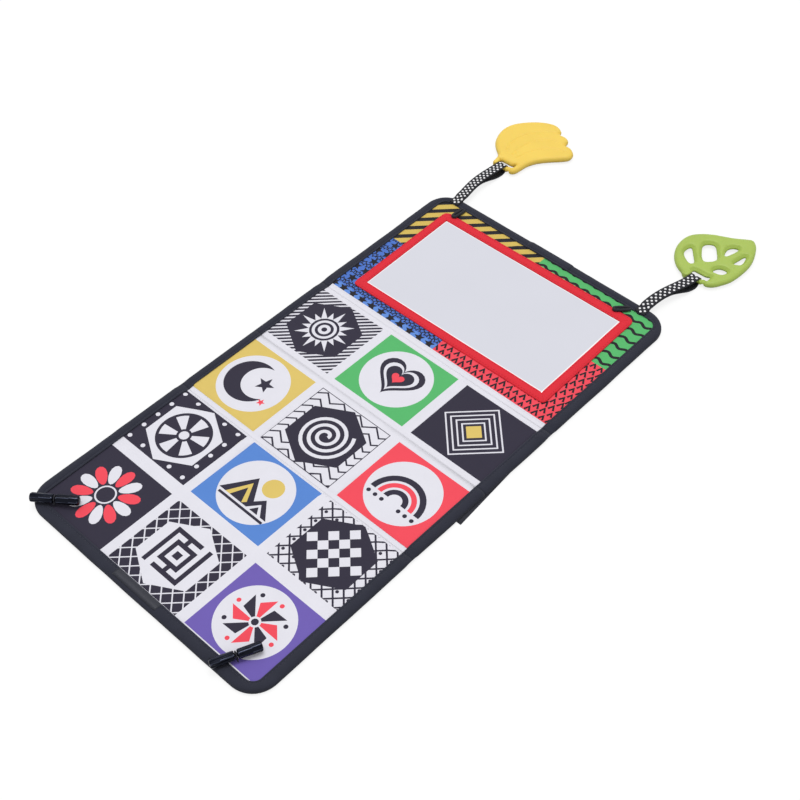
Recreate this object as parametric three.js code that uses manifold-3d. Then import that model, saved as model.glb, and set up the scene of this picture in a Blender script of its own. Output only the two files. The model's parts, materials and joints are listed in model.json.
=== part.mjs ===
import * as THREE from "three";
import { mergeVertices } from "three/addons/utils/BufferGeometryUtils.js";
import Module from "manifold-3d";

// A fold-out tummy time book, lying open: three padded cloth panels in a black
// binding, two fold strips, a mirror in a red frame, two teethers on ribbons,
// two toggles on cords, two elastic loops and a cloth flap behind.
// Millimetres, +Z up. The origin is the middle of the underside. +Y points
// to the mirror end and +X to the right.

const wasm = await Module();
wasm.setup();

// Whole mat
const matWidth = 298;
const matLength = 560;
const mirrorPanelLength = 187.5;
const endPanelLength = 184.5;
const outerCornerRadius = 24;
const innerCornerRadius = 5;

// Layers, from the floor up
const tapeThickness = 0.8;
const clothThickness = 0.6;
const foamThickness = 2;
const gap = 0.3;
const bindingLip = 9;
const overrun = 1;

// Folds
const foldStripWidth = 10;
const foldClothThickness = 0.6;
const foldTapeThickness = 1.5;
const foldSetBack = 1.2;

// Mirror and its frame, set in from the mat's edges and from the fold
const mirrorLeftMargin = 28;
const mirrorRightMargin = 33;
const mirrorFarMargin = 27.3;
const mirrorFoldMargin = 26.2;
const mirrorThickness = 0.8;
const trimWidth = 10;
const trimLap = 5;
const trimThickness = 0.8;

// Binding join and label patch
const patchLength = 56;
const patchWidth = 7;
const patchThickness = 0.5;

// Ribbons and teethers
const ribbonWidth = 11.5;
const ribbonThickness = 1;
const ribbonRootRadius = 1.2;
const ribbonRootGap = 0.2;
const ribbonTabOverhang = 1.2;
const ribbonSeamRadius = 0.25;
const ribbonSeamLength = 4;
const ribbonStations = 8;
const barRadius = 2.6;
const barClearance = 0.4;
const teetherThickness = 8;
const teetherBevel = 1.6;
const slotWidth = 21;
const slotDepth = 6.8;
const slotOffset = 3.5;
const bananaWidth = 90;
const bananaLength = 100;
const leafWidth = 77;
const leafLength = 90;
const leftRibbonInset = 21;
const leftRibbonDrift = -4;
const leftRibbonBow = -5;
const leftRibbonReach = 73;
const rightRibbonInset = 30.5;
const rightRibbonDrift = 11;
const rightRibbonBow = -1;
const rightRibbonReach = 68;

// Toggles and their cords
const toggleLength = 44;
const toggleRadius = 4;
const toggleFluteDepth = 0.7;
const toggleFlutes = 8;
const toggleBevel = 0.6;
const waistRadius = 2.4;
const waistLength = 6;
const waistSides = 16;
const cordRadius = 1;
const cordBeadRadius = 1.4;
const cordReach = 5;
const cordArch = 3;
const leftToggleInset = 23.8;
const leftToggleFromNearEdge = 15;
const leftToggleTurn = 36.5;
const rightToggleInset = 37.7;
const rightToggleFromNearEdge = 17;
const rightToggleTurn = 65;

// Elastic loops
const elasticRadius = 1.1;
const elasticLength = 15.5;
const elasticHalfWidth = 4.2;
const elasticTilt = 12;
const elasticFromSeam = 0.5;
const leftElasticInset = 36;
const leftElasticTurn = -90;
const rightElasticInset = 42;
const rightElasticTurn = -130;

// Cloth flap behind the middle panel
const flapWidth = 286;
const flapLength = 122;
const flapSkew = 4;
const flapThickness = 0.8;
const flapFromFold = 2.4;
const flapInset = 2;

// Counts of flats on round work
const arcSteps = 8;
const cordSides = 8;
const cordSteps = 26;
const splineSteps = 3;

// Outlines of the teethers, as shares of their width and length from the bar
const bananaShares = [
  [-0.1, -0.03], [-0.14, 0.02], [-0.16, 0.09], [-0.25, 0.17], [-0.35, 0.26],
  [-0.42, 0.39], [-0.44, 0.52], [-0.41, 0.63], [-0.33, 0.74], [-0.22, 0.84],
  [-0.1, 0.91], [0.01, 0.94], [0.1, 0.92], [0.15, 0.885], [0.165, 0.84],
  [0.24, 0.845], [0.31, 0.825], [0.34, 0.785], [0.35, 0.73], [0.42, 0.73],
  [0.5, 0.695], [0.55, 0.64], [0.56, 0.57], [0.5, 0.495], [0.4, 0.4],
  [0.305, 0.29], [0.255, 0.17], [0.245, 0.06], [0.225, -0.02], [0.16, -0.055],
  [0.08, -0.05], [-0.02, -0.04],
];
const leafShares = [
  [-0.15, -0.045], [-0.25, -0.01], [-0.34, 0.04], [-0.44, 0.13], [-0.52, 0.26],
  [-0.55, 0.4], [-0.525, 0.53], [-0.44, 0.63], [-0.33, 0.705], [-0.19, 0.77],
  [-0.03, 0.84], [0.11, 0.92], [0.18, 0.945], [0.25, 0.91], [0.32, 0.82],
  [0.395, 0.67], [0.435, 0.53], [0.445, 0.36], [0.42, 0.2], [0.365, 0.09],
  [0.3, 0], [0.22, -0.045], [0.09, -0.055], [-0.03, -0.055],
];
const leafHoleShares = [
  [[-0.38, 0.25], [-0.395, 0.32], [-0.37, 0.385], [-0.27, 0.3], [-0.17, 0.19],
    [-0.2, 0.155], [-0.28, 0.18]],
  [[-0.2, 0.385], [-0.27, 0.5], [-0.235, 0.56], [-0.155, 0.59], [-0.05, 0.5],
    [0.02, 0.41], [0, 0.35], [-0.08, 0.29], [-0.145, 0.325]],
  [[0.065, 0.51], [0.02, 0.625], [0.055, 0.69], [0.13, 0.72], [0.11, 0.595]],
  [[0.24, 0.465], [0.25, 0.56], [0.28, 0.67], [0.32, 0.57], [0.315, 0.5]],
  [[0.12, 0.21], [0.16, 0.3], [0.275, 0.305], [0.275, 0.245], [0.215, 0.205]],
];

// Heights worked out from the layers
const backClothBottom = tapeThickness + gap;
const foamBottom = backClothBottom + clothThickness + gap;
const frontClothBottom = foamBottom + foamThickness + gap;
const clothTop = frontClothBottom + clothThickness;
const matThickness = clothTop + gap + tapeThickness;
const foldHeight = matThickness / 2;

// Places along the mat
const farEdge = matLength / 2;
const nearEdge = -farEdge;
const rightEdge = matWidth / 2;
const leftEdge = -rightEdge;
const farFold = farEdge - mirrorPanelLength;
const nearFold = nearEdge + endPanelLength;
const foldHalf = foldStripWidth / 2 + foldSetBack;
const farSeam = farEdge - bindingLip;

// Pairs of pieces, left and right
const ribbons = [
  {
    side: "left",
    baseX: leftEdge + leftRibbonInset,
    endX: leftEdge + leftRibbonInset + leftRibbonDrift,
    bow: leftRibbonBow,
    reach: leftRibbonReach,
  },
  {
    side: "right",
    baseX: rightEdge - rightRibbonInset,
    endX: rightEdge - rightRibbonInset + rightRibbonDrift,
    bow: rightRibbonBow,
    reach: rightRibbonReach,
  },
];
const toggles = [
  {
    side: "left",
    x: leftEdge + leftToggleInset,
    y: nearEdge + leftToggleFromNearEdge,
    turn: leftToggleTurn,
  },
  {
    side: "right",
    x: rightEdge - rightToggleInset,
    y: nearEdge + rightToggleFromNearEdge,
    turn: rightToggleTurn,
  },
];
const elastics = [
  { side: "left", x: leftEdge + leftElasticInset, turn: leftElasticTurn },
  { side: "right", x: rightEdge - rightElasticInset, turn: rightElasticTurn },
];

// Colours, roughness and metalness
const finishes = {
  black: [0x343640, 0.85, 0],
  white: [0xe8e7f1, 0.8, 0],
  foam: [0xf4f1e6, 0.95, 0],
  red: [0xe83241, 0.75, 0],
  mirror: [0xdbdce5, 0.05, 1],
  elastic: [0x23242a, 0.7, 0],
  toggle: [0x1b1c22, 0.25, 0],
  yellow: [0xf7d561, 0.4, 0],
  green: [0xaac85a, 0.4, 0],
  label: [0x4a4c55, 0.3, 0],
};

const book = new THREE.Group();

function toSolid(geometry) {
  const bare = geometry.clone();
  bare.deleteAttribute("normal");
  bare.deleteAttribute("uv");
  const merged = mergeVertices(bare);
  return new wasm.Manifold(new wasm.Mesh({
    numProp: 3,
    vertProperties: merged.attributes.position.array,
    triVerts: new Uint32Array(merged.index.array),
  }));
}

function toGeometry(solid) {
  const mesh = solid.getMesh();
  const geometry = new THREE.BufferGeometry();
  const positions = new THREE.BufferAttribute(mesh.vertProperties, 3);
  geometry.setAttribute("position", positions);
  geometry.setIndex(new THREE.BufferAttribute(mesh.triVerts, 1));
  geometry.computeVertexNormals();
  return geometry;
}

function addPiece(name, geometry, finish, parent = book) {
  const [color, roughness, metalness] = finishes[finish];
  const material = new THREE.MeshStandardMaterial({ color, roughness, metalness });
  const mesh = new THREE.Mesh(geometry, material);
  mesh.name = name;
  parent.add(mesh);
  return mesh;
}

function prism(shape, bottom, top) {
  const options = { depth: top - bottom, bevelEnabled: false, curveSegments: arcSteps };
  return new THREE.ExtrudeGeometry(shape, options).translate(0, 0, bottom);
}

function block(x0, x1, y0, y1, z0, z1) {
  const box = new THREE.BoxGeometry(x1 - x0, y1 - y0, z1 - z0);
  return box.translate((x0 + x1) / 2, (y0 + y1) / 2, (z0 + z1) / 2);
}

// A rectangle whose corners are rounded at its far side, its near side or both
function panelShape(x0, x1, y0, y1, nearRadius, farRadius) {
  const shape = new THREE.Shape();
  shape.moveTo(x0 + nearRadius, y0);
  shape.lineTo(x1 - nearRadius, y0);
  if (nearRadius > 0)
    shape.absarc(x1 - nearRadius, y0 + nearRadius, nearRadius, -Math.PI / 2, 0);
  shape.lineTo(x1, y1 - farRadius);
  if (farRadius > 0)
    shape.absarc(x1 - farRadius, y1 - farRadius, farRadius, 0, Math.PI / 2);
  shape.lineTo(x0 + farRadius, y1);
  if (farRadius > 0)
    shape.absarc(x0 + farRadius, y1 - farRadius, farRadius, Math.PI / 2, Math.PI);
  shape.lineTo(x0, y0 + nearRadius);
  if (nearRadius > 0)
    shape.absarc(x0 + nearRadius, y0 + nearRadius, nearRadius, Math.PI, 1.5 * Math.PI);
  return shape;
}

// Panels: back cloth, foam and front cloth, seated inside the binding
const panels = [
  { name: "mirror_panel", from: farFold + foldHalf, to: farEdge, near: 0, far: 1 },
  { name: "mid_panel", from: nearFold + foldHalf, to: farFold - foldHalf, near: 0, far: 0 },
  { name: "end_panel", from: nearEdge, to: nearFold - foldHalf, near: 1, far: 0 },
];

// The panel's outline, drawn in from the mat's edges but not from the folds
function insetPanel(panel, inset, radius) {
  return panelShape(
    leftEdge + inset,
    rightEdge - inset,
    panel.from + inset * panel.near,
    panel.to - inset * panel.far,
    radius * panel.near,
    radius * panel.far,
  );
}

for (const panel of panels) {
  const inset = tapeThickness + gap;
  const outline = insetPanel(panel, inset, outerCornerRadius - inset);
  const layers = [
    ["back_cloth", backClothBottom, clothThickness, "black"],
    ["foam", foamBottom, foamThickness, "foam"],
    ["front_cloth", frontClothBottom, clothThickness, "white"],
  ];
  for (const [layer, bottom, thickness, finish] of layers)
    addPiece(panel.name + "_" + layer, prism(outline, bottom, bottom + thickness), finish);
}

// Binding: a tape folded over the edge, with a lip above and below the panel
function endBinding(panel) {
  const outer = insetPanel(panel, 0, outerCornerRadius);
  const beyond = panel.near ? { to: panel.to + overrun } : { from: panel.from - overrun };
  const cut = { ...panel, ...beyond };
  const wall = insetPanel(cut, tapeThickness, outerCornerRadius - tapeThickness);
  const window = insetPanel(cut, bindingLip, innerCornerRadius);
  const tape = toSolid(prism(outer, 0, matThickness));
  const cavity = toSolid(prism(wall, tapeThickness, matThickness - tapeThickness));
  const opening = toSolid(prism(window, -overrun, matThickness + overrun));
  return toGeometry(tape.subtract(cavity).subtract(opening));
}

addPiece("binding_mirror_panel", endBinding(panels[0]), "black");
addPiece("binding_end_panel", endBinding(panels[2]), "black");

function sideBinding(panel, side) {
  const outerX = side * rightEdge;
  const innerX = side * (rightEdge - bindingLip);
  const wallX = side * (rightEdge - tapeThickness);
  const beyondX = innerX - side * overrun;
  const span = (a, b) => [Math.min(a, b), Math.max(a, b)];
  const cavityTop = matThickness - tapeThickness;
  const tape = toSolid(block(...span(outerX, innerX), panel.from, panel.to, 0, matThickness));
  const cavity = toSolid(block(
    ...span(wallX, beyondX), panel.from - overrun, panel.to + overrun,
    tapeThickness, cavityTop,
  ));
  return tape.subtract(cavity);
}

// Flap, which passes out under the right-hand binding of the middle panel
const flapHinge = panels[1].to - flapFromFold;
const flapFreeEdge = flapHinge - flapLength;
const flapShift = Math.tan(THREE.MathUtils.degToRad(flapSkew)) * flapLength;
const flapRight = rightEdge - flapInset;
const flapPassage = toSolid(block(
  rightEdge - bindingLip - overrun,
  rightEdge + overrun,
  flapFreeEdge - gap,
  flapHinge + flapThickness,
  -overrun,
  flapThickness + gap,
));
const midRight = sideBinding(panels[1], 1).subtract(flapPassage);
addPiece("binding_mid_left", toGeometry(sideBinding(panels[1], -1)), "black");
addPiece("binding_mid_right", toGeometry(midRight), "black");

const flapShape = new THREE.Shape([
  new THREE.Vector2(flapRight - flapWidth, flapHinge),
  new THREE.Vector2(flapRight - flapWidth + flapShift, flapFreeEdge),
  new THREE.Vector2(flapRight + flapShift, flapFreeEdge),
  new THREE.Vector2(flapRight, flapHinge),
]);
addPiece("stand_flap", prism(flapShape, 0, flapThickness), "black");

// Folds: two sewn cloths and a flattened length of binding at each side
const clothInset = bindingLip + gap;
const stripHalf = foldStripWidth / 2 + foldSetBack - gap;
for (const [name, fold] of [["mirror_fold", farFold], ["end_fold", nearFold]]) {
  const y0 = fold - stripHalf;
  const y1 = fold + stripHalf;
  const frontBottom = foldHeight + gap / 2;
  const backBottom = foldHeight - gap / 2 - foldClothThickness;
  const tapeBottom = foldHeight - foldTapeThickness / 2;
  const tapeTop = tapeBottom + foldTapeThickness;
  const clothLeft = leftEdge + clothInset;
  const clothRight = rightEdge - clothInset;
  const front = block(
    clothLeft, clothRight, y0, y1, frontBottom, frontBottom + foldClothThickness,
  );
  const back = block(
    clothLeft, clothRight, y0, y1, backBottom, backBottom + foldClothThickness,
  );
  const left = block(leftEdge, leftEdge + bindingLip, y0, y1, tapeBottom, tapeTop);
  const right = block(rightEdge - bindingLip, rightEdge, y0, y1, tapeBottom, tapeTop);
  addPiece(name + "_front_cloth", front, "white");
  addPiece(name + "_back_cloth", back, "black");
  addPiece(name + "_binding_left", left, "black");
  addPiece(name + "_binding_right", right, "black");
}

// Mirror sheet and the four mitred strips that hold its edges
const mirrorWidth = matWidth - mirrorLeftMargin - mirrorRightMargin;
const mirrorHeight = mirrorPanelLength - mirrorFarMargin - mirrorFoldMargin;
const mirrorX = (mirrorLeftMargin - mirrorRightMargin) / 2;
const mirrorY = farEdge - mirrorFarMargin - mirrorHeight / 2;
const mirrorBottom = clothTop + gap;
const mirrorTop = mirrorBottom + mirrorThickness;
const trimTop = mirrorTop + gap + trimThickness;
const mirrorSheet = block(
  mirrorX - mirrorWidth / 2,
  mirrorX + mirrorWidth / 2,
  mirrorY - mirrorHeight / 2,
  mirrorY + mirrorHeight / 2,
  mirrorBottom,
  mirrorTop,
);
addPiece("mirror_sheet", mirrorSheet, "mirror");

const mirrorSeat = toSolid(block(
  mirrorX - mirrorWidth / 2 - gap,
  mirrorX + mirrorWidth / 2 + gap,
  mirrorY - mirrorHeight / 2 - gap,
  mirrorY + mirrorHeight / 2 + gap,
  mirrorBottom - overrun,
  mirrorTop + gap,
));
const trimOuterX = mirrorWidth / 2 + trimWidth - trimLap;
const trimOuterY = mirrorHeight / 2 + trimWidth - trimLap;
const mitreGap = gap / 2;

// One strip along +X whose outer edge lies at -depth, mitred at both ends
function trimStrip(halfLength, depth) {
  const shape = new THREE.Shape([
    new THREE.Vector2(-halfLength + mitreGap, -depth),
    new THREE.Vector2(halfLength - mitreGap, -depth),
    new THREE.Vector2(halfLength - trimWidth - mitreGap, -depth + trimWidth),
    new THREE.Vector2(-halfLength + trimWidth + mitreGap, -depth + trimWidth),
  ]);
  return prism(shape, mirrorBottom, trimTop);
}

const trims = [
  { name: "near", turns: 0, half: trimOuterX, depth: trimOuterY },
  { name: "right", turns: 1, half: trimOuterY, depth: trimOuterX },
  { name: "far", turns: 2, half: trimOuterX, depth: trimOuterY },
  { name: "left", turns: 3, half: trimOuterY, depth: trimOuterX },
];
for (const { name, turns, half, depth } of trims) {
  const strip = trimStrip(half, depth).rotateZ(turns * Math.PI / 2);
  const placed = toSolid(strip.translate(mirrorX, mirrorY, 0));
  addPiece("mirror_trim_" + name, toGeometry(placed.subtract(mirrorSeat)), "red");
}

// Overlapped end of the binding tape at the far edge, and a bare sewn label
const patchBottom = matThickness + gap;
for (const [name, edge, inward, finish] of [
  ["binding_join", farEdge, -1, "black"],
  ["blank_label", nearEdge, 1, "label"],
]) {
  const patch = block(
    -patchLength / 2,
    patchLength / 2,
    -patchWidth / 2,
    patchWidth / 2,
    patchBottom,
    patchBottom + patchThickness,
  );
  addPiece(name, patch.translate(0, edge + inward * bindingLip / 2, 0), finish);
}

// Ribbons: a tab sewn over the binding, then a flat loop round the teether's bar.
// The loop turns about a line just beyond the tab and level with its upper face.
const ribbonTabEnd = farEdge + ribbonTabOverhang;
const ribbonTabBottom = matThickness + gap;
const ribbonTabTop = ribbonTabBottom + ribbonThickness;
const ribbonHingeY = ribbonTabEnd + ribbonRootRadius + ribbonRootGap;
const ribbonHingeZ = ribbonTabTop + ribbonRootRadius + ribbonRootGap;
const loopInnerRadius = barRadius + barClearance;
const loopOuterRadius = loopInnerRadius + ribbonThickness;
const barHeight = teetherThickness / 2;
const acrossX = new THREE.Matrix4().makeBasis(
  new THREE.Vector3(0, 1, 0),
  new THREE.Vector3(0, 0, 1),
  new THREE.Vector3(1, 0, 0),
);

// Outline round two circles, with stations along its two long sides
function bandPoints(start, startRadius, end, endRadius) {
  const points = [];
  const arc = (center, radius, from, to) => {
    for (let step = 0; step <= arcSteps; step++) {
      const angle = THREE.MathUtils.lerp(from, to, step / arcSteps);
      const x = center.x + radius * Math.cos(angle);
      points.push(new THREE.Vector2(x, center.y + radius * Math.sin(angle)));
    }
  };
  const side = (from, fromRadius, to, toRadius, sign) => {
    for (let step = 1; step < ribbonStations; step++) {
      const share = step / ribbonStations;
      const middle = from.clone().lerp(to, share);
      const radius = THREE.MathUtils.lerp(fromRadius, toRadius, share);
      points.push(new THREE.Vector2(middle.x, middle.y + sign * radius));
    }
  };
  arc(start, startRadius, Math.PI / 2, 1.5 * Math.PI);
  side(start, startRadius, end, endRadius, -1);
  arc(end, endRadius, -Math.PI / 2, Math.PI / 2);
  side(end, endRadius, start, startRadius, 1);
  return points;
}

function ribbonLoop({ baseX, endX, bow, reach }) {
  const root = new THREE.Vector2(0, 0);
  const bar = new THREE.Vector2(reach, barHeight - ribbonHingeZ);
  const seam = root.clone().lerp(bar, ribbonSeamLength / reach);
  const shape = new THREE.Shape(bandPoints(root, ribbonRootRadius, bar, loopOuterRadius));
  shape.holes.push(new THREE.Path(bandPoints(seam, ribbonSeamRadius, bar, loopInnerRadius)));
  const flat = new THREE.ExtrudeGeometry(shape, { depth: ribbonWidth, bevelEnabled: false });
  flat.translate(0, 0, -ribbonWidth / 2).applyMatrix4(acrossX);
  const position = flat.attributes.position;
  for (let index = 0; index < position.count; index++) {
    const share = THREE.MathUtils.clamp(position.getY(index) / reach, 0, 1);
    const eased = THREE.MathUtils.smoothstep(share, 0, 1);
    const lean = THREE.MathUtils.lerp(baseX, endX, eased);
    const shift = lean + bow * Math.sin(Math.PI * share) ** 2;
    position.setX(index, position.getX(index) + shift);
  }
  return flat.translate(0, ribbonHingeY, ribbonHingeZ);
}

for (const ribbon of ribbons) {
  const tab = block(
    ribbon.baseX - ribbonWidth / 2,
    ribbon.baseX + ribbonWidth / 2,
    farSeam,
    ribbonTabEnd,
    ribbonTabBottom,
    ribbonTabTop,
  );
  addPiece("strap_tab_" + ribbon.side, tab, "elastic");
  addPiece("strap_loop_" + ribbon.side, toGeometry(toSolid(ribbonLoop(ribbon))), "elastic");
}

// Teethers: a rounded plate with a round bar left standing in the ribbon's slot
function splinePoints(shares, width, length) {
  const controls = shares.map(([x, y]) => new THREE.Vector3(x * width, y * length, 0));
  const curve = new THREE.CatmullRomCurve3(controls, true);
  const points = curve.getPoints(shares.length * splineSteps).slice(0, -1);
  return points.map((point) => new THREE.Vector2(point.x, point.y));
}

function teether(outlineShares, holes, width, length) {
  const shape = new THREE.Shape(splinePoints(outlineShares, width, length).reverse());
  for (const hole of holes)
    shape.holes.push(new THREE.Path(splinePoints(hole, width, length)));
  const plate = new THREE.ExtrudeGeometry(shape, {
    depth: teetherThickness - 2 * teetherBevel,
    bevelThickness: teetherBevel,
    bevelSize: teetherBevel,
    bevelOffset: -teetherBevel,
    bevelSegments: 2,
  });
  plate.translate(0, 0, teetherBevel - barHeight);
  const slot = block(
    slotOffset - slotWidth / 2,
    slotOffset + slotWidth / 2,
    -barRadius - slotDepth,
    barRadius + slotDepth,
    -teetherThickness,
    teetherThickness,
  );
  const bar = new THREE.CylinderGeometry(
    barRadius, barRadius, slotWidth + 2 * overrun, 2 * arcSteps,
  );
  bar.rotateZ(Math.PI / 2).translate(slotOffset, 0, 0);
  return toGeometry(toSolid(plate).subtract(toSolid(slot)).add(toSolid(bar)));
}

function hang(name, geometry, finish, ribbon) {
  const piece = addPiece(name, geometry, finish);
  piece.position.set(ribbon.endX, ribbonHingeY + ribbon.reach, barHeight);
}

hang("banana_teether", teether(bananaShares, [], bananaWidth, bananaLength), "yellow", ribbons[0]);
hang("leaf_teether", teether(leafShares, leafHoleShares, leafWidth, leafLength), "green", ribbons[1]);

// Toggles: two fluted barrels and a slim waist between them, along +X
const toggleHeight = matThickness + gap + toggleRadius;

function flutedBarrel(from, to) {
  const points = [];
  for (let step = 0; step < 2 * toggleFlutes; step++) {
    const angle = step * Math.PI / toggleFlutes;
    const radius = step % 2 ? toggleRadius - toggleFluteDepth : toggleRadius;
    points.push(new THREE.Vector2(radius * Math.cos(angle), radius * Math.sin(angle)));
  }
  const barrel = new THREE.ExtrudeGeometry(new THREE.Shape(points), {
    depth: to - from - 2 * toggleBevel,
    bevelThickness: toggleBevel,
    bevelSize: toggleBevel,
    bevelOffset: -toggleBevel,
    bevelSegments: 1,
  });
  return toSolid(barrel.translate(0, 0, from + toggleBevel).applyMatrix4(acrossX));
}

function toggleBar() {
  const waist = new THREE.CylinderGeometry(
    waistRadius, waistRadius, waistLength + 2 * overrun, waistSides,
  );
  const left = flutedBarrel(-toggleLength / 2, -waistLength / 2);
  const right = flutedBarrel(waistLength / 2, toggleLength / 2);
  return toGeometry(left.add(right).add(toSolid(waist.rotateZ(Math.PI / 2))));
}

// A cord whose two ends meet in a sewn bead at the first point of its route
function cordLoop(route, radius) {
  const section = new THREE.Shape();
  section.absarc(0, 0, radius, 0, 2 * Math.PI);
  const tube = new THREE.ExtrudeGeometry(section, {
    steps: cordSteps,
    curveSegments: cordSides,
    extrudePath: new THREE.CatmullRomCurve3([...route, route[0]]),
  });
  const bead = new THREE.SphereGeometry(cordBeadRadius, cordSides, cordSides);
  bead.translate(...route[0].toArray());
  return toGeometry(toSolid(tube).add(toSolid(bead)));
}

const cordBeadHeight = clothTop + gap + cordBeadRadius;
const waistStrandRadius = waistRadius + gap + cordRadius;
const strandTop = toggleHeight + waistStrandRadius;
const strandBottom = toggleHeight - waistStrandRadius;
const toggleRoute = [
  [-cordReach, cordBeadHeight],
  [-cordReach / 2, strandBottom],
  [cordArch, strandBottom],
  [cordArch + waistStrandRadius, toggleHeight],
  [cordArch, strandTop],
  [-waistRadius / 2, strandTop],
  [-waistStrandRadius - gap, toggleHeight + waistRadius / 2],
].map(([y, z]) => new THREE.Vector3(0, y, z));

for (const { side, x, y, turn } of toggles) {
  const place = new THREE.Group();
  place.position.set(x, y, 0);
  place.rotation.z = THREE.MathUtils.degToRad(turn);
  book.add(place);
  const bar = addPiece("toggle_" + side, toggleBar(), "toggle", place);
  bar.position.z = toggleHeight;
  addPiece("toggle_cord_" + side, cordLoop(toggleRoute, cordRadius), "elastic", place);
}

// Elastic loops: pear-shaped, sewn at the far seam and leaning over the frame
const elasticRouteShares = [
  [0, 0], [0.2, 0.57], [0.45, 1], [0.78, 0.86],
  [1, 0], [0.78, -0.86], [0.45, -1], [0.2, -0.57],
];
const elasticRoute = elasticRouteShares.map(
  ([along, across]) => new THREE.Vector3(along * elasticLength, across * elasticHalfWidth, 0),
);

for (const { side, x, turn } of elastics) {
  const place = new THREE.Group();
  place.position.set(x, farSeam - elasticFromSeam - cordBeadRadius, cordBeadHeight);
  place.rotation.z = THREE.MathUtils.degToRad(turn);
  book.add(place);
  const loop = addPiece("elastic_loop_" + side, cordLoop(elasticRoute, elasticRadius), "elastic", place);
  loop.rotation.y = -THREE.MathUtils.degToRad(elasticTilt);
}

export default book;
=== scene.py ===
import json
import math
from collections import namedtuple

import bmesh
import bpy
import numpy as np
from mathutils import Matrix, Vector, noise
from mathutils.geometry import delaunay_2d_cdt
from mathutils.kdtree import KDTree


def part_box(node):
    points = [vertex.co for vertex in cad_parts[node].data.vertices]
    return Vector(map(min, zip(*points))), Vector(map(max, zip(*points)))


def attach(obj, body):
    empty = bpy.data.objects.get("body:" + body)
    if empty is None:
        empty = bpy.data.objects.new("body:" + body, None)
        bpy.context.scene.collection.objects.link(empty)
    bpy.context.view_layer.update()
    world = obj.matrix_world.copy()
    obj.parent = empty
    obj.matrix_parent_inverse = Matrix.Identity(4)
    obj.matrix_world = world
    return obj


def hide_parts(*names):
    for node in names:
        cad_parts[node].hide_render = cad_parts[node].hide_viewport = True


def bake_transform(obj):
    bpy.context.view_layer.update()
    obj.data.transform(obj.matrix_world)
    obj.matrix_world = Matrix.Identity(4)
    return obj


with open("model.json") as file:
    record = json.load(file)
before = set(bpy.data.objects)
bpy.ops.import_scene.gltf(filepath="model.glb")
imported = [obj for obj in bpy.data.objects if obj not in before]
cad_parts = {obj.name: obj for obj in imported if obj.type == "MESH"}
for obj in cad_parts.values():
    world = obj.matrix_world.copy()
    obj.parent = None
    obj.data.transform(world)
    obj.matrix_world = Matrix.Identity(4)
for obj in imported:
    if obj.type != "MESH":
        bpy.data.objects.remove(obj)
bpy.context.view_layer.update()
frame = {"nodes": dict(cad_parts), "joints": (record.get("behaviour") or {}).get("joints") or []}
scene = bpy.context.scene

# Everything below is in millimetres until a mesh is made
MM = 0.001
FULL_TURN = 2 * math.pi


def span(node):
    low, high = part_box(node)
    return [value / MM for value in low], [value / MM for value in high]


def middle_of(node):
    low, high = span(node)
    return (Vector(low) + Vector(high)) / 2


def joint_row(name):
    return next(row for row in frame["joints"] if row["name"] == name)


def joint_place(name):
    return [value / MM for value in joint_row(name)["pos_m"]]


# Places taken from the frame
left_edge = span("binding_mid_left")[0][0]
right_edge = span("binding_mid_right")[1][0]
lip_width = span("binding_mid_left")[1][0] - left_edge
mat_top = span("binding_mid_left")[1][2]
mat_middle = mat_top / 2
far_edge = span("binding_mirror_panel")[1][1]
near_edge = span("binding_end_panel")[0][1]
cloth_top = span("mid_panel_front_cloth")[1][2]
cloth_thickness = cloth_top - span("mid_panel_front_cloth")[0][2]
back_top = span("mid_panel_back_cloth")[1][2]
fold_cloth_top = span("mirror_fold_front_cloth")[1][2]
fold_back_top = span("mirror_fold_back_cloth")[1][2]
far_creases = [joint_place("mirror_fold_first_crease")[1], joint_place("mirror_fold_second_crease")[1]]
near_creases = [joint_place("end_fold_first_crease")[1], joint_place("end_fold_second_crease")[1]]
far_fold = sum(far_creases) / 2
near_fold = sum(near_creases) / 2
fold_half = far_creases[1] - far_fold

# Camera: the photograph's viewing angle
camera_place = Vector((614.95, -578.3, 982.8))
camera_forward = Vector((-0.45936, 0.46878, -0.75448))
camera_up = Vector((-0.50651, 0.55952, 0.65603))
camera_lens = 61.79
camera_sensor = 36

camera_data = bpy.data.cameras.new("camera")
camera_data.lens = camera_lens
camera_data.sensor_width = camera_sensor
camera_data.clip_end = 20
camera = bpy.data.objects.new("camera", camera_data)
camera_right = camera_forward.cross(camera_up).normalized()
camera.matrix_world = Matrix.Translation(camera_place * MM) @ Matrix(
    (camera_right, camera_right.cross(camera_forward), -camera_forward)
).transposed().to_4x4()
scene.collection.objects.link(camera)
scene.camera = camera
scene.view_settings.view_transform = "Standard"


# Materials
def linear(colour):
    """A colour written as three numbers up to 255 becomes Blender's linear one"""
    shares = [value / 255 for value in colour]
    return tuple(
        share / 12.92 if share <= 0.04045 else ((share + 0.055) / 1.055) ** 2.4
        for share in shares
    )


def noise_texture(nodes, links, place, scale, detail=2):
    texture = nodes.new("ShaderNodeTexNoise")
    texture.inputs["Scale"].default_value = scale
    texture.inputs["Detail"].default_value = detail
    links.new(place.outputs["Object"], texture.inputs["Vector"])
    return texture.outputs["Fac"]


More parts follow.
